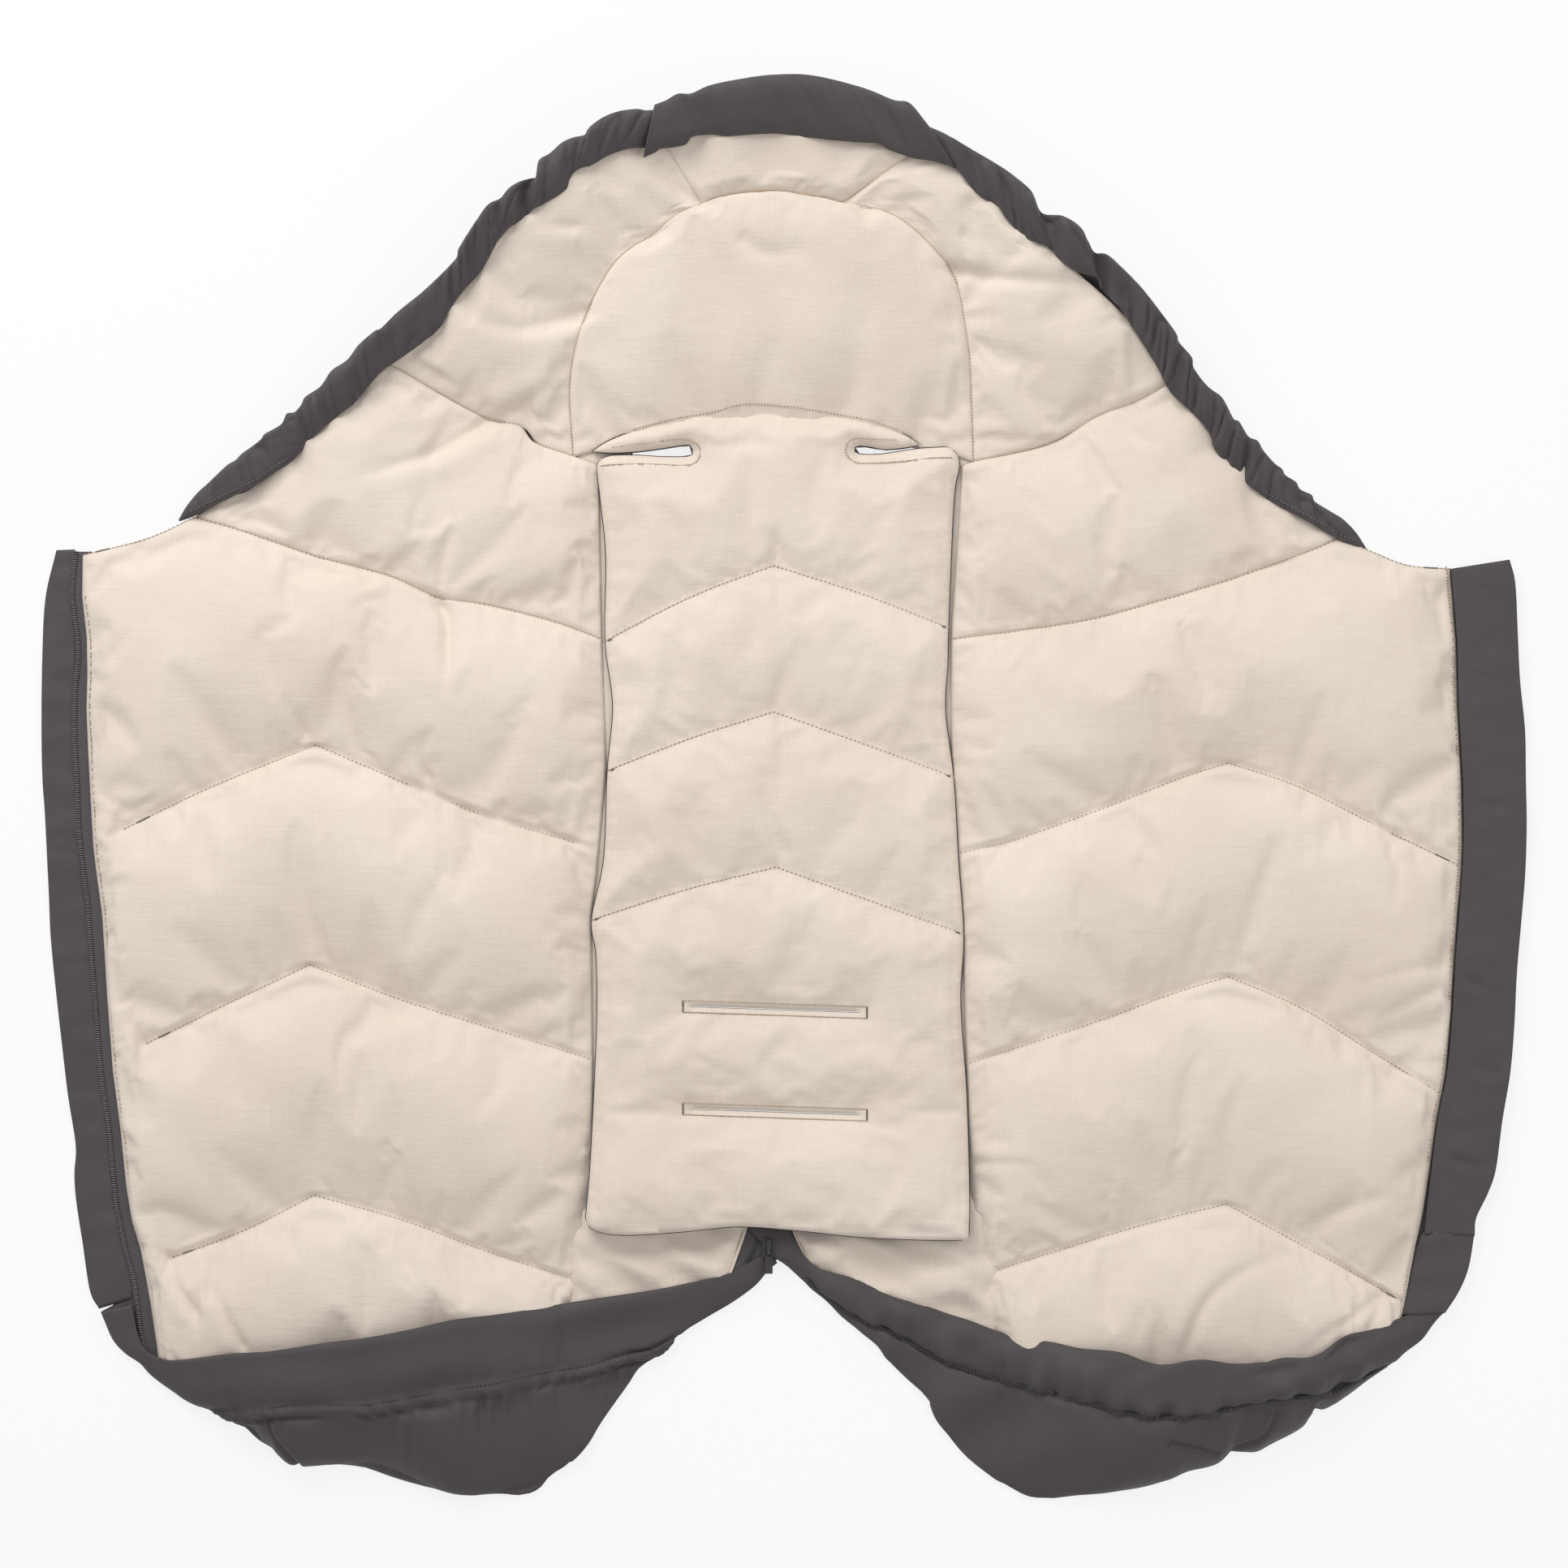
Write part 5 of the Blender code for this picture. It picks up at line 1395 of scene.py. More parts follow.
# %% Gathered casing
CASING_OUTER = {
    "left": [
        (-403.8, 176.3), (-398.5, 184.7), (-391, 193.7), (-383.4, 200.5), (-371.2, 211.9), (-365.1, 215.7),
        (-360.6, 220.2), (-353, 225.5), (-347.8, 229.8), (-345.4, 233.1), (-334.8, 239.4), (-331, 246.5),
        (-325.7, 247.5), (-321.2, 252.8), (-318.9, 257.3), (-313.6, 261.1), (-309.1, 264.2),
        (-306.1, 267.9), (-300.8, 275.5), (-290.9, 282.3), (-283.3, 292.2), (-272.7, 301.3),
        (-268.2, 303.5), (-260.6, 311.1), (-254.6, 316.4), (-238, 330), (-219.2, 348.9), (-216.2, 357.2),
        (-204.1, 376.2), (-196.6, 386), (-189, 389.8), (-182.9, 396.6), (-175.3, 401.2), (-167.7, 403.4),
        (-165, 404.5), (-163.2, 414.8), (-155.6, 420.1), (-148, 426.9), (-140.5, 430.3), (-132.8, 432.2),
        (-129.8, 436.8), (-120.7, 443.6), (-110.2, 447.7), (-98, 449.3), (-92, 448.4), (-84, 449),
    ],
    "centre": [
        (-86, 452), (-78.3, 455), (-70.7, 459.2), (-61.7, 459.5), (-49.5, 464.8), (-29.8, 469), (-7.1, 472),
        (18.4, 471.6), (50.8, 463.8), (72.7, 455.3), (81, 454.2), (86.4, 450.4), (96.2, 437.8),
    ],
    "right": [
        (88, 441), (108.3, 432.2), (126.5, 421.6), (147.7, 408.8), (162.9, 396.6), (166.7, 390.5),
        (172, 380), (185.6, 378.1), (197, 370.9), (202.3, 361.8), (206.8, 353.9), (214.4, 352.7),
        (223.5, 345.1), (237.1, 331.5), (249, 316.4), (260.8, 300.3), (263, 294.1), (271.3, 284.2),
        (272.9, 276.8), (281.8, 265), (291.8, 256.9), (299.2, 243.3), (302.9, 241.4), (309.1, 231.5),
        (315.3, 228.4), (319, 222.2), (326.5, 213.5), (331.4, 209.8), (333.9, 205.5), (340.7, 201.2),
        (343.8, 196.2), (351.3, 192.5), (353.7, 188.1), (363.6, 181.9), (372.3, 176.4), (381, 167.7),
        (388.5, 157.1),
    ],
}
CASING_INNER = {
    "left": [
        (-403, 175.2), (-391.7, 179.3), (-378.8, 185.4), (-363.6, 192.5), (-350, 199), (-337.9, 207.4),
        (-325.7, 215.7), (-319.7, 222.5), (-307.6, 236.1), (-287.9, 251.3), (-278.8, 261.1),
        (-266.7, 274.8), (-254.6, 283.1), (-240.9, 293), (-228.7, 303.5), (-222, 316), (-212, 329),
        (-199.5, 343.4), (-189, 363.3), (-181.3, 370.9), (-172.3, 374.7), (-169.2, 380), (-158.7, 386),
        (-145, 395.1), (-140.5, 405.7), (-132.8, 410.2), (-128.3, 411), (-116.2, 417.9), (-104.1, 422.1),
        (-92, 423),
    ],
    "centre": [
        (-93.5, 416), (-85.9, 419.4), (-81.3, 422), (-66.2, 424.2), (-60, 430), (-45, 431.5),
        (-37.4, 430.3), (-7.1, 432.2), (18.4, 429.2), (50.8, 426.2), (62.9, 425.4), (69, 421.6),
        (85.6, 416), (102.3, 413.3), (114, 409),
    ],
    "right": [
        (100, 414), (112.9, 409.5), (117.5, 405.7), (125, 395.9), (132.6, 389), (141.7, 384.5),
        (149.3, 373.9), (161.4, 362.5), (176.5, 357.2), (181.1, 351.2), (187.2, 345.1), (196.2, 339.8),
        (206.8, 336.7), (211.4, 329.2), (221.9, 317.8), (227.3, 310.2), (236, 296.6), (248.3, 276.8),
        (256.4, 261.3), (273.1, 245.2), (283, 233.4), (286.2, 222.2), (298, 209.2), (310.4, 197.4),
        (326.5, 186.3), (347.5, 175.1), (360, 168.3), (369.8, 162.7), (387.5, 156),
    ],
}
CASING_REACH = math.radians(152)
CASING_STEP = 1.5
CASING_EDGE_HEIGHT = 10.0
CASING_FULL_WIDTH = 22.0
CASING_SQUARE = 0.72
CASING_LOW, CASING_THICKNESS, CASING_ENDS = 1.6, 1.0, 8
EDGE_FOLD, FINE_FOLD, PINCH_DEPTH, SLOW_FOLD = 1.7, 0.6, 2.4, 1.0
FOLD_LIMIT = 2.4
CALM_SHARE = 0.45
CASING_LEAN = {"left": 5.0, "centre": -14.0, "right": -10.0}
CASING_SEEDS = {"left": 61, "centre": 66, "right": 71}
ELASTIC_HEIGHT, ELASTIC_RADIUS = 5.8, 2.4
CASING_HALF_HEIGHT = {"left": 7.4, "centre": 8.6, "right": 7.4}


def closed_layer(name, top, bottom, material):
    """A thin closed piece between two grids of the same size."""
    rows, columns = top.shape[:2]
    first = rows * columns
    faces = grid_faces(rows, columns) + grid_faces(rows, columns, first, flip=True)
    index = np.arange(first).reshape(rows, columns)
    for edge in (index[0], index[-1], index[:, 0], index[:, -1]):
        faces.extend([int(a), int(b), int(b) + first, int(a) + first] for a, b in zip(edge[:-1], edge[1:]))
    return mesh_object(name, np.vstack([top.reshape(-1, 3), bottom.reshape(-1, 3)]), faces, material)


def blurred(values, reach):
    """Values along a line, averaged with a bell curve that reaches this many steps."""
    steps = np.arange(-3 * reach, 3 * reach + 1)
    bell = hump(steps / reach)
    padded = np.pad(values, 3 * reach, mode="edge")
    return np.convolve(padded, bell / bell.sum(), mode="valid")


def off_hood(line):
    """A line read off the casing, where it really lies, found in turns because its height depends on that."""
    found = line
    for _ in range(3):
        found = off_lens(line, bowl(*found.T) + CASING_EDGE_HEIGHT)
    return found


def across_line(line):
    ahead = np.gradient(line, axis=0)
    ahead /= np.maximum(np.linalg.norm(ahead, axis=1, keepdims=True), 1e-9)
    return np.column_stack([-ahead[:, 1], ahead[:, 0]])


def casing(side, seed):
    steps = round(line_length(CASING_OUTER[side]) / CASING_STEP)
    outer, inner = (off_hood(even_line(edge[side], steps)) for edge in (CASING_OUTER, CASING_INNER))
    calm = np.column_stack([blurred(outer[:, axis], 10) for axis in (0, 1)])
    stands_out = ((outer - calm) * across_line(calm)).sum(axis=1)
    stands_out[:CASING_ENDS] = stands_out[-CASING_ENDS:] = 0
    width = np.linalg.norm(outer - inner, axis=1)[:, None]
    size = np.clip(width / CASING_FULL_WIDTH, 0.1, 1) ** 0.7
    angle = np.linspace(-CASING_REACH, CASING_REACH, 40)[None]
    travelled = (np.arange(steps + 1) * CASING_STEP)[:, None]
    squared = np.sign(np.cos(angle)) * np.abs(np.cos(angle)) ** CASING_SQUARE
    low_end = -(np.abs(math.cos(CASING_REACH)) ** CASING_SQUARE)
    share = (squared - low_end) / (1 - low_end)
    lean = CASING_LEAN[side]
    slant = np.round((1 - share) * lean / CASING_STEP).astype(int)
    where = np.clip(np.arange(steps + 1)[:, None] + slant, 0, steps)
    from_edge = stands_out[where]
    deep = CALM_SHARE if side == "centre" else 1.0
    leaning = travelled + (1 - share) * lean
    pinch = hump(ripple(leaning, 5 * angle, seed, 24) / 0.28)
    fine = ripple(leaning, 2 * angle, seed + 2, 10)
    slow = ripple(leaning, 12 * angle, seed + 1, 30)
    edge_fold = EDGE_FOLD * np.clip(from_edge, -FOLD_LIMIT, FOLD_LIMIT)
    fold = deep * (edge_fold + FINE_FOLD * fine - PINCH_DEPTH * pinch) + SLOW_FOLD * slow
    upper = np.clip(np.sin(angle), 0, 1)
    round_side = np.where(np.sin(angle) < 0, -np.abs(np.sin(angle)) ** 0.55, np.sin(angle))
    half = CASING_HALF_HEIGHT[side]
    layers = []
    for inset in (0.0, CASING_THICKNESS):
        spots = inner[:, None] + (outer - inner)[:, None] * share[..., None]
        pull = (inset / np.maximum(width, 4)) * (outer - inner)
        spots = spots - pull[:, None] * np.sign(np.cos(angle))[..., None]
        height = CASING_LOW + half * size + (half - inset) * size * round_side + fold * upper**0.6 * size
        layers.append(np.dstack([spots, bowl(spots[..., 0], spots[..., 1]) + height]))
    piece = closed_layer(f"casing_{side}_gathered", layers[0], layers[1], SOFTSHELL)
    ride_or_bend(piece, "back" if side == "centre" else side)
    nodes = ["casing_centre"] if side == "centre" else [f"casing_{side}", f"{side}_casing_end"]
    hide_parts(*nodes)
    declare_sheet(piece, length=steps * CASING_STEP * MM)
    casing_tops[side] = layers[0][:, angle[0] > 0.1].reshape(-1, 3)
    casing_hems[side] = inner + 3.2 * (outer - inner) / np.maximum(width, 3.2)
    return (outer + inner) / 2


def tube_mesh(name, line, radius, material, sides=10):
    ahead = np.gradient(line, axis=0)
    ahead /= np.linalg.norm(ahead, axis=1, keepdims=True)
    out = np.column_stack([-ahead[:, 1], ahead[:, 0], np.zeros(len(line))])
    out /= np.linalg.norm(out, axis=1, keepdims=True)
    up = np.cross(ahead, out)
    turn = np.linspace(0, 2 * math.pi, sides, endpoint=False)
    ring = np.cos(turn)[None, :, None] * out[:, None] + np.sin(turn)[None, :, None] * up[:, None]
    points = line[:, None] + radius * ring
    index = np.arange(len(line) * sides).reshape(len(line), sides)
    faces = []
    for step in range(sides):
        after = (step + 1) % sides
        faces.extend(zip(index[:-1, step], index[:-1, after], index[1:, after], index[1:, step]))
    faces.extend([index[0][::-1], index[-1]])
    return mesh_object(name, points.reshape(-1, 3), [[int(i) for i in face] for face in faces], material)


casing_tops, casing_hems = {}, {}
middles = {side: casing(side, seed) for side, seed in CASING_SEEDS.items()}
left_middle = middles["left"][round(0.45 * len(middles["left"])) : -8]
right_middle = middles["right"][8 : round(0.62 * len(middles["right"]))]
elastic_line = np.vstack([left_middle, middles["centre"][4:-4], right_middle])
elastic_line = np.column_stack([blurred(elastic_line[:, axis], 6) for axis in (0, 1)])[::2]
elastic_line = elastic_line[np.argsort(elastic_line[:, 0])]
fold_marks = np.searchsorted(elastic_line[:, 0], [-FOLD_X, FOLD_X])
for where, part in zip(("left", "back", "right"), np.split(elastic_line, fold_marks)):
    route = np.column_stack([part, bowl(part[:, 0], part[:, 1]) + ELASTIC_HEIGHT])
    elastic = tube_mesh(f"hood_elastic_{where}", route, ELASTIC_RADIUS, ELASTIC)
    ride_or_bend(elastic, where)
    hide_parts("hood_elastic")
print("casing and elastic done,", len(elastic_line), "points along the elastic")

# %% [markdown]
# ## Toe covers
# Each foot goes into a dark pocket. Its cover is one cloth from the rim to the toe, cut wide and sewn to a
# shorter band, so it gathers below the seam. The left band carries a double-stitched ridge. The right one is
# padded, and puckered where the zip's coil is sewn on. The form is a grid from rim to toe, raised like a
# quarter of an ellipse, with each fold added along its own normal.

# %% Toe covers
RIDGE_TOP = [
    (-365, -419), (-342.6, -415.3), (-327.8, -413.6), (-305.6, -412.9), (-279.4, -413.1), (-264.6, -410.9),
    (-247.9, -407.7), (-219.8, -402.8), (-192.2, -398.5), (-164.2, -392.6), (-132.8, -387.2),
    (-106.9, -379.6), (-90.2, -376.1), (-75, -368.5),
]
RIDGE_WIDTH, RIDGE_HEIGHT = 7.4, 1.8
UPPER_SEAM_DEPTH, LOWER_SEAM_DEPTH, COIL_SEAM_DEPTH = 1.2, 2.2, 2.2
BAND_PUFF, PUCKER_HEIGHT, BAND_RIPPLE = 4.2, 2.6, 1.4
# The left cover's gathers are deepest round one place; elsewhere they have the first of these depths.
GATHER_PLACE, GATHER_SPREAD = -185, 75
LEFT_GATHER, RIGHT_GATHER = (0.7, 2.2), 1.6
TOE_SWELL = {"left": 2.4, "right": 2.7}
RIM_SWELL, RIM_GATHER, RIM_WAVE = 1.5, 1.3, 1.6
DART_SHOULDER, DART_VALLEY = (1.0, 7.0), (2.6, 1.5)
RIM_RELIEF = 0.25
FOOT_FADE = (0.8, 0.55, 0.3, 0.1)
COIL_LINE = [
    (401.2, -387.7), (384.8, -396.9), (366, -404.7), (337.9, -408.8), (307.3, -413.4), (277, -420),
    (253.6, -422.1), (230, -419), (202, -412), (164.7, -402.8), (131.8, -393.5), (103.7, -382.9),
    (73.4, -366.7), (45.4, -353.7), (28.9, -342.6), (15.5, -330.5),
]
COVER_FLOOR = 3.0
NOTCH_LIFT = 3.6
PULLER_WAY, PULLER_SLOPE = 9.5, 30.0


def on_cover(line, side, share):
    """A line seen on a toe cover, moved to where it lies at a share of the rim's height."""
    line = np.array(line, float)
    return off_lens(line, share * rim_height(line[:, 0], side))


RIDGE_TOP = on_cover(RIDGE_TOP, "left", 0.85)
COIL_LINE = on_cover(COIL_LINE, "right", 0.85)
COVER_ROWS = 46
FULL_REACH, LEAST_ROLL = 30, 0.15
COVER_THICKNESS = 1.2
FLOOR_START = {"left": 4, "right": 16}
FLOOR_SHARES = np.linspace(0.22, 0.97, 12)
FLOOR_THICKNESS = 1.0
RIM_ROLL = ((3.5, -9.0), (2.0, -6.0), (0.6, -3.2), (0.0, -1.3), (0.5, -0.3))
DARTS = {
    "left": ([(-340.6, -418), (-339.5, -426), (-335.5, -434), (-329, -442), (-322, -448.5)],),
    "right": (
        [(326.2, -415), (322.7, -427), (315.6, -434.5), (298, -440.5)],
        [(286, -442), (270, -437.5), (254, -434)],
        [(352, -415), (349, -411), (349.5, -405)],
    ),
}


def groove(points, line, depth, width):
    gaps = nearest(points, run_of(line, 1.0))
    return depth * hump(gaps / width)


def below_line(points, line):
    """How far each point lies below a line that runs from side to side, measured across it."""
    spots = run_of(line, 2.0)
    spots = spots[np.argsort(spots[:, 0])]
    slope = np.interp(points[:, 0], spots[:, 0], np.gradient(spots[:, 1], spots[:, 0]))
    return (np.interp(points[:, 0], spots[:, 0], spots[:, 1]) - points[:, 1]) / np.sqrt(1 + slope**2)


def left_relief(points):
    x, y = points.T
    below = below_line(points, RIDGE_TOP)
    under = below - RIDGE_WIDTH
    lumps = 1 + 0.3 * np.clip(ripple(x, 3 * y, 71, 7), -1, 1)
    relief = RIDGE_HEIGHT * smoothstep(below / 1.6) * smoothstep(-under / 1.4) * lumps
    relief -= UPPER_SEAM_DEPTH * hump(below / 1.1) + LOWER_SEAM_DEPTH * hump((under - 0.6) / 1.2)
    where = hump((x - GATHER_PLACE) / GATHER_SPREAD)
    gathers = np.clip(ripple(x, 0.14 * y, 73, 13), -1.2, 1.2) * np.exp(-np.clip(under, 0, None) / 20)
    relief += smoothstep(under / 3) * (LEFT_GATHER[0] + LEFT_GATHER[1] * where) * gathers
    relief += smoothstep(under / 8) * TOE_SWELL["left"] * ripple(0.7 * x + 0.3 * y, 0.5 * y, 75, 44)
    slow = RIM_SWELL * ripple(0.4 * x, y, 77, 34)
    fine = RIM_GATHER * where * ripple(x, 0.2 * y, 79, 15) * np.exp(below / 12)
    return relief + smoothstep(-below / 3) * (slow + fine)


def right_relief(points):
    x, y = points.T
    below = below_line(points, COIL_LINE)
    to_rim = nearest(points, rail(*TOE_RIM["right"])[::2])
    share = np.clip(to_rim / np.maximum(to_rim - below, 1), 0, 1)
    band = below < 0
    puckers = np.clip(ripple(x, 0.25 * y, 81, 17), -1.3, 1.3)
    puff = BAND_PUFF * np.sin(math.pi * share) ** 0.7 + PUCKER_HEIGHT * puckers * share**1.3
    relief = np.where(band, puff, 0.0)
    relief += np.where(band, BAND_RIPPLE * ripple(x, y, 83, 30), 0.0)
    relief -= COIL_SEAM_DEPTH * hump(below / 1.8)
    gathers = np.clip(ripple(x, 0.2 * y, 85, 13), -1.2, 1.2) * np.exp(-np.clip(below, 0, None) / 12)
    swell = TOE_SWELL["right"] * ripple(0.6 * x - 0.4 * y, 0.6 * y, 87, 50)
    relief += smoothstep(below / 4) * (RIGHT_GATHER * gathers + swell)
    return relief


def grid_normals(grid):
    across = np.gradient(grid, axis=1)
    along = np.gradient(grid, axis=0)
    normals = np.cross(along, across)
    normals /= np.maximum(np.linalg.norm(normals, axis=2, keepdims=True), 1e-9)
    middle = normals[len(RIM_ROLL) + 2 :, :, 2]
    return normals if middle.mean() > 0 else -normals


toe_covers = {}
for side, side_sign in SIDES.items():
    rim, toe = rim_lines[side], toe_lines[side]
    if side == "right":
        rim = rim.copy()
        rim[:, 1] += RIM_WAVE * ripple(rim[:, 0], rim[:, 1], 89, 34)
    span = toe - rim
    distance = np.linalg.norm(span, axis=1, keepdims=True)
    way = span / np.maximum(distance, 1e-6)
    height = rim_height(rim[:, 0], side)[:, None]
    small = np.clip(distance / FULL_REACH, LEAST_ROLL, 1)
    foot = COVER_FLOOR + (NOTCH_LIFT * smoothstep((4 - side_sign * toe[:, 0]) / 10))[:, None]
    angles = np.linspace(0.06, math.pi / 2, COVER_ROWS)
    layers = [np.column_stack([rim + way * back * small, height + drop * small]) for back, drop in RIM_ROLL]
    for angle in angles:
        spots = rim + span * math.sin(angle)
        layers.append(np.column_stack([spots, foot + (height - foot) * math.cos(angle)]))
    grid = np.stack(layers)
    flat = grid[..., :2].reshape(-1, 2)
    relief = (left_relief if side == "left" else right_relief)(flat)
    for dart in DARTS[side]:
        relief += groove(flat, dart, *DART_SHOULDER) - groove(flat, dart, *DART_VALLEY)
    fade = np.ones(len(grid))
    fade[: len(RIM_ROLL)] = RIM_RELIEF
    fade[-len(FOOT_FADE) :] = FOOT_FADE
    strength = np.clip(distance[:, 0] / 40, 0, 1)
    relief = relief.reshape(grid.shape[:2]) * fade[:, None] * strength[None]
    normals = grid_normals(grid)
    outer = grid + relief[..., None] * normals
    outer[..., 2] = np.maximum(outer[..., 2], COVER_FLOOR)
    if side == "right":
        beside_puller = PULLER_SLOPE * smoothstep((outer[..., 0] + 3) / 12)
        outer[..., 2] = np.minimum(outer[..., 2], PULLER_WAY + beside_puller)
    cover = closed_layer(f"toe_{side}_cover", outer, outer - COVER_THICKNESS * normals, SOFTSHELL)
    toe_covers[side] = outer[len(RIM_ROLL) :].reshape(-1, 3)
    bend_with(cover)
    nodes = [f"{side}_toe_pocket", f"{side}_toe_neck"]
    if side == "left":
        nodes += ["left_toe_flap", "left_neck_flap"]
    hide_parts(*nodes)
    declare_sheet(cover, length=line_length(rim) * MM)
    print(f"{side} toe cover: {outer[..., 0].size} points, top at {outer[..., 2].max():.1f} mm")

    kept = slice(FLOOR_START[side], None)
    reach = span - 18 * way * small
    inner = np.stack([rim[kept] + (way * 2 + reach * share)[kept] for share in FLOOR_SHARES])
    low = bowl(inner[..., 0], inner[..., 1]) + ON_SHELL
    top = np.dstack([inner, low + FLOOR_THICKNESS])
    lining = closed_layer(f"toe_{side}_floor", top, np.dstack([inner, low]), LINING)
    bend_with(lining)
    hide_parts(f"{side}_toe_lining")
    declare_sheet(lining, length=line_length(rim) * MM)

# %% [markdown]
# ## Zip flaps and tapes
# A storm flap lies beside the left zip and a guard inside the right one. Both are doubled cloth, so their
# folded edges are round and they wave a little along their length. The woven tapes carry the coils.

# %% Flaps and tapes
FLAP_EDGES = {
    "storm_flap": (
        [
            (-484, 155.5), (-491.2, 124), (-493.3, 87), (-493.9, 41), (-493.3, 4), (-491.6, -21),
            (-489.1, -72), (-487.7, -103), (-484, -140.5), (-480.1, -175), (-476.3, -207), (-471.2, -240),
            (-472, -258), (-471.4, -272), (-469.3, -288), (-466.6, -305), (-461.7, -337), (-455.6, -349),
        ],
        [
            (-471.5, 156), (-474, 128), (-471, 92), (-472.6, 45), (-470.6, 0), (-466.6, -58), (-462, -101),
            (-458.6, -145), (-450, -225), (-445.4, -273), (-438.4, -310), (-433.2, -330), (-433, -342),
        ],
        (0.15, 0.15, 1.7),
    ),
    "zip_guard": (
        [
            (443.4, 143), (443.9, 133), (447.1, 95), (448.2, 52), (450.9, 0), (451.5, -37), (450.3, -62),
            (446.5, -110), (443.3, -159), (440.5, -191), (434.2, -224), (430, -256), (426.5, -288),
            (425.5, -299),
        ],
        [
            (481.7, 149), (485.5, 133), (487.1, 100), (488.7, 68), (491.9, 36), (492.5, 3), (493, -29),
            (491.9, -62), (489.2, -94), (486.5, -126), (484.9, -159), (482.2, -191), (476.8, -224),
            (472.5, -256), (467.1, -272), (459.5, -288), (458.5, -300),
        ],
        (2.9, 6.3, 1.7),
    ),
}
GUARD_CREASES = (
    ([(477, -15), (458, -13)], 1.2, 2.6),
    ([(446, -129), (460, -133), (477, -140)], 1.4, 3.0),
    ([(477, -191.5), (464, -190), (450, -184)], 1.2, 2.6),
    ([(440, -247.5), (454, -252), (472, -257)], 1.6, 3.0),
)
FLAP_COLUMNS = 22


def flap(edges, heights, seed):
    """A doubled strip between two edges, which are round; its first edge may lie lower than the rest."""
    first, second = edges
    length = line_length(first)
    steps = round(length / 2.5)
    lines = np.stack([even_line(first, steps), even_line(second, steps)])
    share = (1 - np.cos(np.linspace(0, math.pi, FLAP_COLUMNS))) / 2
    flat = lines[0][:, None] * (1 - share)[None, :, None] + lines[1][:, None] * share[None, :, None]
    x, y = flat[..., 0], flat[..., 1]
    inner, rest, thick = heights
    low = inner + (rest - inner) * smoothstep(share / 0.3)[None]
    wave = 0.45 * (1 + np.clip(ripple(0.5 * x, y, seed, 60), -1, 1))
    crease = 0.5 * np.clip(ripple(x, 2.2 * y, seed + 1, 46), -0.5, 1.2)
    round_edge = np.sqrt(np.clip(share * (1 - share) * 30, 0, 1))[None]
    middle = low + thick / 2
    half = 0.12 + (thick / 2 - 0.12) * round_edge
    lift = np.clip(wave + crease, 0, None) * round_edge
    top = np.dstack([x, y, middle + half + lift])
    bottom = np.dstack([x, y, middle - half + 0.6 * lift])
    return top, bottom


for name, (first, second, heights) in FLAP_EDGES.items():
    top, bottom = flap((first, second), heights, 93)
    if name == "zip_guard":
        top = press(top, lambda x, y: heights[1] + 0.9, GUARD_CREASES)
    piece = closed_layer(f"{name}_cloth", top, bottom, SOFTSHELL)
    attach(piece, name)
    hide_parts(name)
    declare_sheet(piece, length=line_length(first) * MM)

GUARD_FOOT = (
    [(425.4, -297), (420.8, -305), (414.5, -337), (410.5, -353)],
    [(458.6, -297), (454.5, -321), (448, -337), (439, -351)],
)
top, bottom = flap(GUARD_FOOT, (2.9, 6.0, 1.7), 94)
guard_foot = closed_layer("guard_foot_cloth", top, bottom, SOFTSHELL)
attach(guard_foot, "right_wing")
declare_sheet(guard_foot, length=line_length(GUARD_FOOT[0]) * MM)

TAPE_EDGES = {
    "left": [
        (-473, 154.5), (-475.3, 128), (-473.8, 113), (-471.7, 97), (-471.2, 83), (-473.2, 64), (-473.8, 45),
        (-473.2, 20), (-472, 0), (-470.7, -31), (-468, -58), (-465, -79), (-463.5, -101), (-460, -145),
        (-456.2, -191), (-450.9, -229), (-446.8, -273), (-443.7, -291), (-439.6, -310), (-434.6, -328),
        (-431.9, -346), (-430, -362), (-427.5, -374), (-423, -388),
    ],
    "right": [
        (460, 139), (464, 79), (466, -18), (462, -126), (452, -207), (443, -278), (437, -312), (430, -345),
    ],
}
TAPE_TUCK = 6.0
TAPE_LOW, TAPE_HIGH = ON_SHELL, 2.4
for side, sign in SIDES.items():
    length = line_length(TAPE_EDGES[side])
    outer = even_line(TAPE_EDGES[side], round(length / 3))
    border = np.array(ZIP_SIDE[side], float)[::-1]
    inner_x = np.interp(outer[:, 1], border[:, 1], border[:, 0]) - sign * TAPE_TUCK
    inner = np.column_stack([inner_x, outer[:, 1]])
    share = np.linspace(0, 1, 7)[None, :, None]
    flat = outer[:, None] * (1 - share) + inner[:, None] * share
    wave = 0.1 * np.clip(ripple(flat[..., 0], flat[..., 1], 95, 25), -1, 1)
    top = np.dstack([flat, TAPE_HIGH + wave])
    bottom = np.dstack([flat, np.full(wave.shape, TAPE_LOW)])
    tape = closed_layer(f"{side}_zip_tape_cloth", top, bottom, TAPE)
    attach(tape, f"{side}_wing")
    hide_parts(f"{side}_zip_tape")
    declare_sheet(tape, length=length * MM)

# %% [markdown]
# ## Stitches and zip teeth
# Thread lies in a needle hole, comes up, and goes down in the next. So a seam is one short bead of thread
# after another with a needle hole between them, and the shade in each hole is painted as a dark blob. One
# Geometry Nodes group puts a small shape at even steps along the lines that it is given, turned along the
# line and upright. Its size, step and material are inputs.

# %% Scattering along lines
SCATTER_INPUTS = {
    "Lines": "Geometry",
    "Step": "Float",
    "Size": "Vector",
    "Shift": "Float",
    "Turn": "Float",
    "Material": "Material",
}
LONGEST_LINE = 1000.0
TURN_SEED = 7


def open_sockets(node, name):
    """A node's inputs of one name that its settings leave in use."""
    return [socket for socket in node.inputs if socket.name == name and socket.enabled]


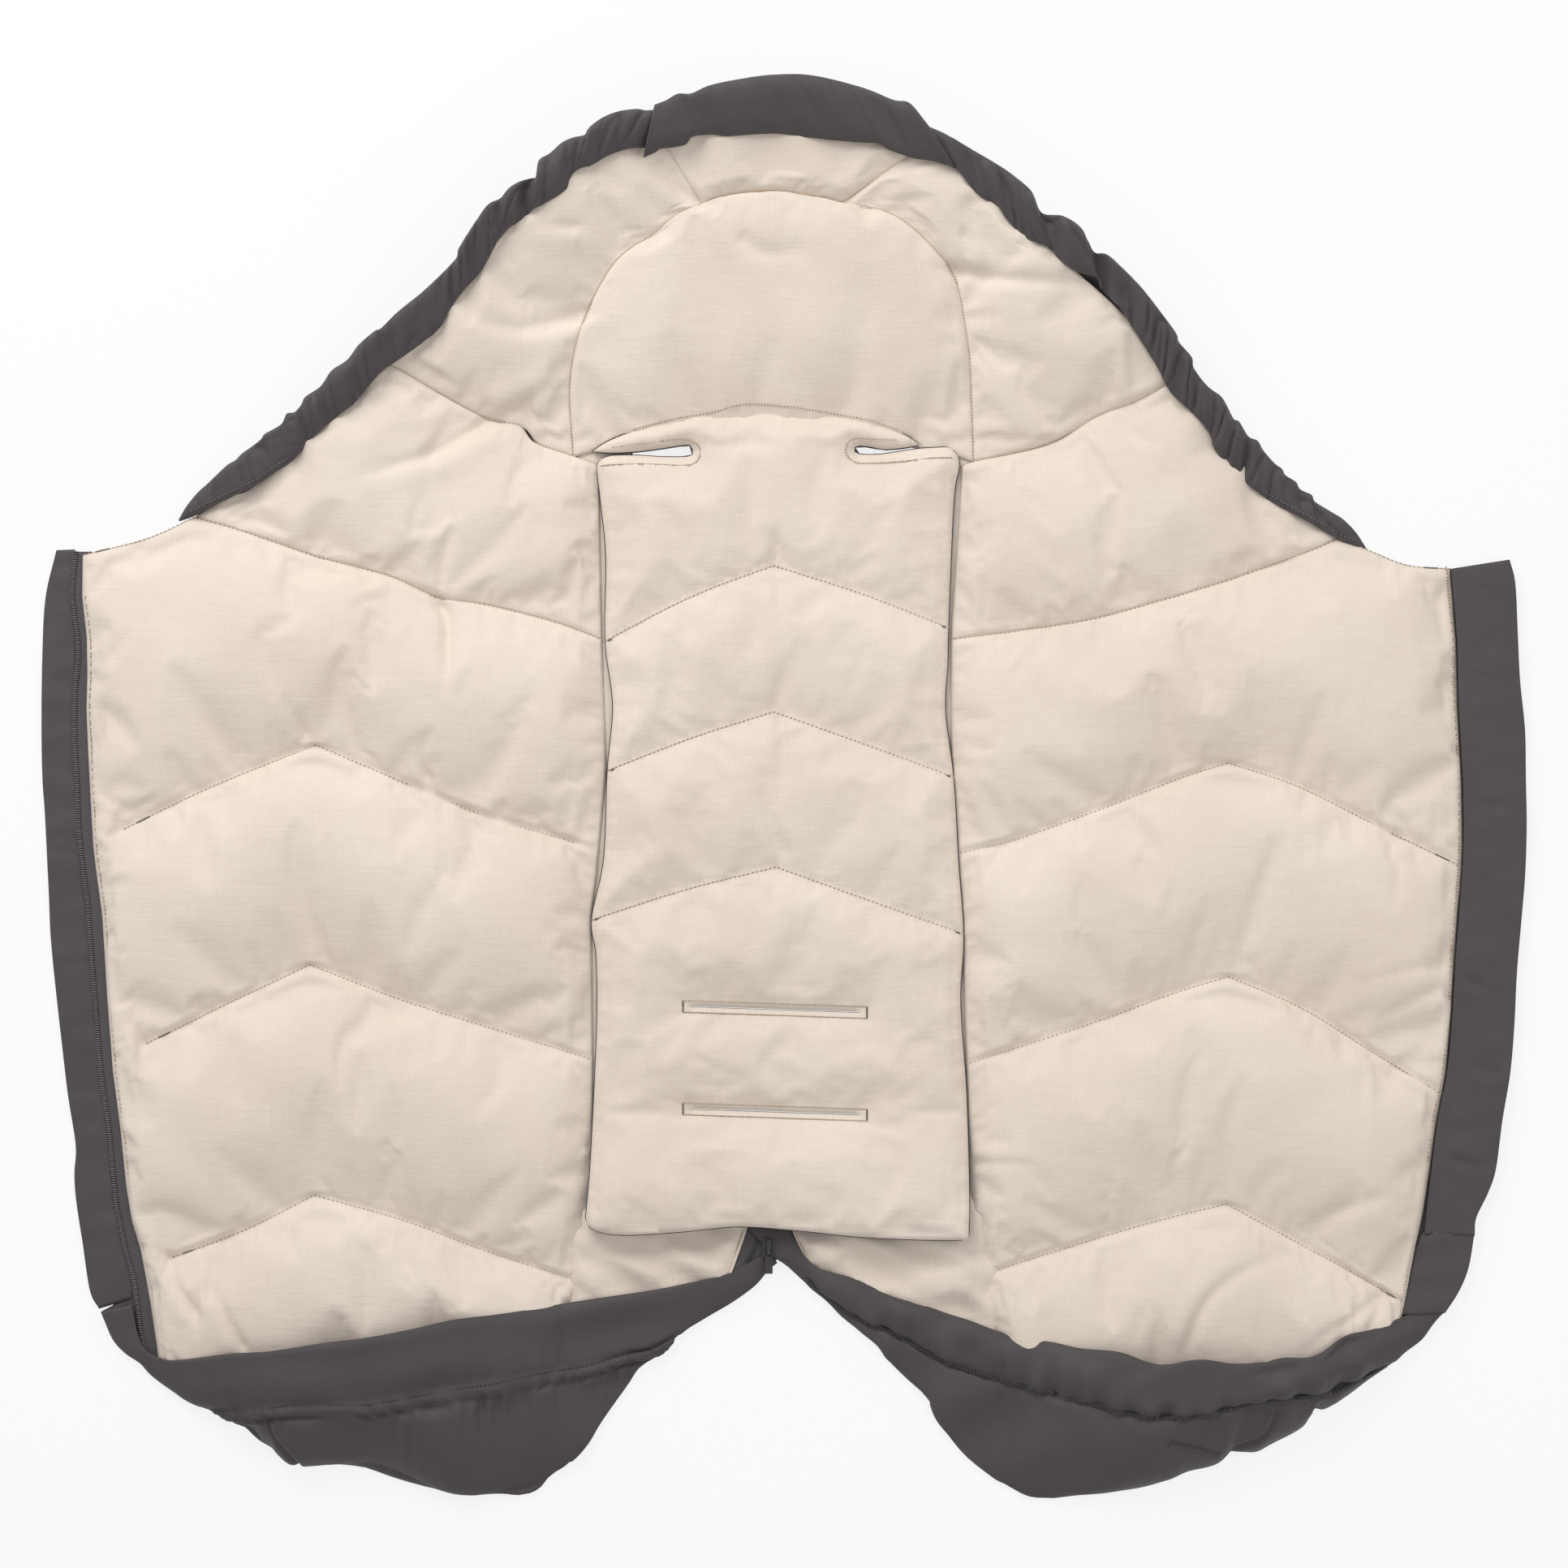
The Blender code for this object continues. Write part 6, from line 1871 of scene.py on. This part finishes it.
def make_scatter():
    tree = bpy.data.node_groups.new("scatter_along", "GeometryNodeTree")
    for name, kind in SCATTER_INPUTS.items():
        tree.interface.new_socket(name, in_out="INPUT", socket_type=f"NodeSocket{kind}")
    tree.interface.new_socket("Pieces", in_out="OUTPUT", socket_type="NodeSocketGeometry")
    nodes = tree.nodes
    given = nodes.new("NodeGroupInput")
    out = nodes.new("NodeGroupOutput")
    to_curve = nodes.new("GeometryNodeMeshToCurve")
    trim = nodes.new("GeometryNodeTrimCurve")
    trim.mode = "LENGTH"
    open_sockets(trim, "End")[0].default_value = LONGEST_LINE
    resample = nodes.new("GeometryNodeResampleCurve")
    resample.mode = "LENGTH"
    tangent = nodes.new("GeometryNodeInputTangent")
    aim = nodes.new("FunctionNodeAlignRotationToVector")
    aim.axis = "X"
    upright = nodes.new("FunctionNodeAlignRotationToVector")
    upright.axis, upright.pivot_axis = "Z", "X"
    upright.inputs["Vector"].default_value = (0, 0, 1)
    twist = nodes.new("FunctionNodeRotateRotation")
    twist.rotation_space = "LOCAL"
    jitter = nodes.new("FunctionNodeRandomValue")
    jitter.data_type = "FLOAT"
    jitter.inputs["Seed"].default_value = TURN_SEED
    negative = nodes.new("ShaderNodeMath")
    negative.operation = "MULTIPLY"
    negative.inputs[1].default_value = -1.0
    euler = nodes.new("ShaderNodeCombineXYZ")
    to_rotation = nodes.new("FunctionNodeEulerToRotation")
    ball = nodes.new("GeometryNodeMeshUVSphere")
    ball.inputs["Segments"].default_value = 8
    ball.inputs["Rings"].default_value = 5
    ball.inputs["Radius"].default_value = 0.5
    place = nodes.new("GeometryNodeInstanceOnPoints")
    real = nodes.new("GeometryNodeRealizeInstances")
    paint = nodes.new("GeometryNodeSetMaterial")
    link = tree.links.new
    link(given.outputs["Lines"], to_curve.inputs["Mesh"])
    link(to_curve.outputs["Curve"], trim.inputs["Curve"])
    link(given.outputs["Shift"], open_sockets(trim, "Start")[0])
    link(trim.outputs["Curve"], resample.inputs["Curve"])
    link(given.outputs["Step"], resample.inputs["Length"])
    link(tangent.outputs["Tangent"], aim.inputs["Vector"])
    link(aim.outputs["Rotation"], upright.inputs["Rotation"])
    link(given.outputs["Turn"], negative.inputs[0])
    link(negative.outputs[0], open_sockets(jitter, "Min")[0])
    link(given.outputs["Turn"], open_sockets(jitter, "Max")[0])
    value = next(socket for socket in jitter.outputs if socket.enabled)
    link(value, euler.inputs["Z"])
    link(euler.outputs[0], to_rotation.inputs[0])
    link(upright.outputs["Rotation"], twist.inputs["Rotation"])
    link(to_rotation.outputs[0], twist.inputs["Rotate By"])
    link(resample.outputs["Curve"], place.inputs["Points"])
    link(ball.outputs["Mesh"], place.inputs["Instance"])
    link(twist.outputs["Rotation"], place.inputs["Rotation"])
    link(given.outputs["Size"], place.inputs["Scale"])
    link(place.outputs["Instances"], real.inputs["Geometry"])
    link(real.outputs["Geometry"], paint.inputs["Geometry"])
    link(given.outputs["Material"], paint.inputs["Material"])
    link(paint.outputs["Geometry"], out.inputs["Pieces"])
    return tree


SCATTER = make_scatter()


def scatter(name, paths, step, size, material, shift=0.0, turn=0.0):
    """Small shapes, size in millimetres, at even steps along lines; the result is a plain mesh."""
    points = np.vstack(paths)
    edges, first = [], 0
    for path in paths:
        edges.extend((first + i, first + i + 1) for i in range(len(path) - 1))
        first += len(path)
    mesh = bpy.data.meshes.new(f"{name}_lines")
    mesh.from_pydata((points * MM).tolist(), edges, [])
    lines = bpy.data.objects.new(f"{name}_lines", mesh)
    scene.collection.objects.link(lines)
    modifier = lines.modifiers.new("scatter", "NODES")
    modifier.node_group = SCATTER
    inputs = [item for item in SCATTER.interface.items_tree if item.in_out == "INPUT"]
    sockets = {item.name: item.identifier for item in inputs}
    modifier[sockets["Step"]] = step * MM
    modifier[sockets["Size"]] = [part * MM for part in size]
    modifier[sockets["Shift"]] = shift * MM
    modifier[sockets["Turn"]] = turn
    modifier[sockets["Material"]] = material
    lines.update_tag()
    bpy.context.view_layer.update()
    made = bpy.data.meshes.new_from_object(lines.evaluated_get(bpy.context.evaluated_depsgraph_get()))
    bpy.data.objects.remove(lines)
    piece = bpy.data.objects.new(name, made)
    scene.collection.objects.link(piece)
    for polygon in made.polygons:
        polygon.use_smooth = True
    print(f"{name}: {len(made.vertices)} points")
    return piece


# The shade that falls into each needle hole is painted: a dark brown blob at every stitch.
NEEDLE_HOLE_SHADE = make_plain("needle_hole_painted_shade", (0.20, 0.145, 0.10), (0.33, 0.25, 0.18), 0.9, 400.0)
STITCH_STEP, HOOD_STEP, SLOT_STEP, EDGE_STEP = 3.0, 2.2, 1.9, 2.3
HOLE_SIZE = (1.15, 1.0, 0.55)


def surface_line(line, points, rise, pitch=1.2):
    """A flat line laid on the nearest points of a finished surface, a little above them."""
    spots = run_of(line, pitch)
    gaps = np.linalg.norm(spots[:, None] - points[None, :, :2], axis=2)
    close = np.argsort(gaps, axis=1)[:, :3]
    height = np.take_along_axis(points[:, 2][None].repeat(len(spots), 0), close, 1).mean(axis=1)
    return np.column_stack([spots, height + rise])


def raised(path, rise):
    return np.asarray(path) + np.array([0, 0, rise])


def sew_lining(name, paths, hold, step=STITCH_STEP, rise=0.15):
    """Cream thread between needle holes, along lines on the lining; hold is applied to each piece, to parent
    it or bake it in.
    """
    lines = [raised(path, rise) for path in paths]
    thread = scatter(f"{name}_thread", lines, step, (step * 0.62, 0.75, 0.6), CREAM_THREAD, step / 2, 0.12)
    # These blobs at the needle holes carry painted shade.
    holes = scatter(f"{name}_holes", lines, step, HOLE_SIZE, NEEDLE_HOLE_SHADE)
    for piece in (thread, holes):
        hold(piece)


def with_side():
    return lambda piece: bend_with(piece)


def with_body(body):
    return lambda piece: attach(piece, body)


# %% [markdown]
# The chevron seams and the hood's seams come first, then a topstitch along each lining edge at the zip, and
# the rows round the pad's slits and slots.

# %% Seams on the lining
for side in SIDES:
    sew_lining(f"{side}_chevron_stitch", stitch_paths[f"{side}_wing"], with_side())
    sew_lining(f"{side}_hood_stitch", stitch_paths[f"{side}_hood_seam"], with_side(), HOOD_STEP, 0.0)
sew_lining("hood_stitch", stitch_paths["hood"], with_body("back"), HOOD_STEP, 0.0)
sew_lining("pad_stitch", stitch_paths["pad"], bend_pad)
sew_lining("pad_slot_stitch", stitch_paths["pad_slots"] + stitch_paths["pad_slits"], bend_pad, SLOT_STEP)

arc_line = surface_line(ARC_STITCH, centre_grid.reshape(-1, 3), 0.5)
sew_lining("hood_arc_stitch", [arc_line], with_body("back"), HOOD_STEP)
TOPSTITCH_IN = 2.6
for side, sign in SIDES.items():
    border = np.array([point for point in ZIP_SIDE[side] if -372 < point[1] < 146], float)
    border[:, 0] -= sign * TOPSTITCH_IN
    edge_line = surface_line(border, wing_grids[side].reshape(-1, 3), 0.4)
    sew_lining(f"{side}_edge_stitch", [edge_line], with_side(), EDGE_STEP)

# %% [markdown]
# The dark cloth is sewn with dark thread: the ridge on the left toe, and stretches of the hems of the
# casing's two sides.
# Short bars of dense thread, called bartacks, stop the ends of the strap slots and seams from tearing.

# %% Seams on the dark cloth
def sew_dark(name, line, hold, step, material=DARK_THREAD):
    thread = scatter(name, [raised(line, 0.25)], step, (step * 0.66, 0.9, 0.7), material, 0, 0.05)
    hold(thread)


ridge_edge = [point for point in RIDGE_TOP if -345 < point[0] < -88]
ridge_line = surface_line(ridge_edge, toe_covers["left"], 0.1)
sew_dark("toe_ridge_stitch", ridge_line, with_side(), 2.6, RIDGE_THREAD)

for side, part in (("left", slice(8, 62)), ("right", slice(-58, -8))):
    hem = surface_line(casing_hems[side][part], casing_tops[side], 0.2)
    sew_dark(f"casing_{side}_hem_stitch", hem, with_side(), 3.0)


def bartack(name, paths, hold):
    bar = scatter(name, [raised(path, 0.3) for path in paths], 0.5, (0.5, 1.5, 0.6), KNOT_THREAD, 0, 0.5)
    hold(bar)


BAR_HALF = 3.2
slot_bars = []
for x in (SLOT_LEFT_X, SLOT_RIGHT_X):
    for y in SLOT_CENTRES_Y:
        y = y + SLOT_TILT * (x - SLOT_MIDDLE_X)
        slot_bars.append(lift_to_pad(np.array([(x, y - BAR_HALF), (x, y), (x, y + BAR_HALF)], float)))
bartack("slot_bartacks", slot_bars, bend_pad)
pad_knots = []
for line in PAD_CHEVRONS:
    for x, y in (line[0], line[-1]):
        inward = 1 if x < 0 else -1
        pad_knots.append(lift_to_pad(np.array([(x + 2.0 * inward, y), (x + 4.6 * inward, y + 0.8)], float)))
bartack("pad_seam_ends", pad_knots, bend_pad)
for side in SIDES:
    bartack(f"{side}_seam_ends", [path[2:5] for path in stitch_paths[f"{side}_wing"]], with_side())

# %% [markdown]
# A nylon zip's coil is one thread wound round and pressed, so that from above it looks like a row of teeth.
# Each turn of the coil is one shape here. The coil runs along both tapes, over the right toe, and down to the
# joined end below the pad, where the slider waits.

# %% Zip coils
COIL_TURN = 1.55
COIL_WIDTHS = {"left": 4.0, "right": 3.4}
COIL_INSET = {"left": 2.1, "right": 1.9}
COIL_WIRE = 0.95


def at_height(line, height):
    return np.column_stack([line, np.full(len(line), height)])


def coil(name, paths, nodes, hold, width, tall=1.8, material=COIL):
    teeth = scatter(name, paths, COIL_TURN, (COIL_WIRE, width, tall), material)
    hold(teeth)
    if nodes:
        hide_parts(*nodes)


for side, sign in SIDES.items():
    line = at_height(even_line(TAPE_EDGES[side], 200) - (sign * COIL_INSET[side], 0), TAPE_HIGH + 0.7)
    node, hold, width = f"{side}_zip_coil", with_body(f"{side}_wing"), COIL_WIDTHS[side]
    # The wing coils take the lighter coil finish, which is partly painted light.
    coil(f"{side}_coil_teeth", [line], [node], hold, width, material=COIL_BACK_LIT)
toe_line = surface_line(COIL_LINE, toe_covers["right"], 0.9)
coil("toe_coil_teeth", [toe_line], ["right_toe_coil", "right_neck_coil"], with_side(), 3.6, 1.9)
CHAIN_HEIGHT = 6.9
CHAIN_LINE = [(-10, -309), (-10, -290), (-10, -263)]
coil("zip_chain_teeth", [at_height(CHAIN_LINE, CHAIN_HEIGHT)], ["zip_chain"], with_body("back"), 4.2)

# %% [markdown]
# Beside the chain the left half of the zip comes out from under the pad and goes behind the left pocket. The
# lining is turned in along both sides of the notch, so a thin cream fold shows there.

# %% The notch
NOTCH_TAPE = ([(-23.5, -290), (-35.5, -326)], [(-12, -290), (-10.5, -305), (-10.5, -313), (-22, -325)])
top, bottom = flap(NOTCH_TAPE, (4.7, 4.7, 0.7), 96)
notch_tape = closed_layer("notch_tape_cloth", top, bottom, TAPE)
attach(notch_tape, "back")
declare_sheet(notch_tape, length=line_length(NOTCH_TAPE[0]) * MM)
NOTCH_HEIGHT = 6.3
NOTCH_COIL = [(-16.6, -302), (-21.5, -311.5), (-24.9, -317.8), (-28, -322.5)]
NOTCH_FOLDS = {
    "left": [(-23.8, -290), (-29, -306), (-36, -326)],
    "right": [(4.6, -291), (8.5, -303), (13.6, -315)],
}
notch_coil = at_height(even_line(NOTCH_COIL, 30), NOTCH_HEIGHT)
coil("notch_coil_teeth", [notch_coil], (), with_body("back"), 3.6, 1.6)
for side, line in NOTCH_FOLDS.items():
    route = at_height(even_line(line, 24), NOTCH_HEIGHT)
    fold = tube_mesh(f"notch_{side}_fold", route, 1.0, LINING, 8)
    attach(fold, "back")
for node in ("zip_slider", "zip_puller", "zip_bottom_stop"):
    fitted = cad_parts[node].data
    fitted.materials.clear()
    fitted.materials.append(METAL)
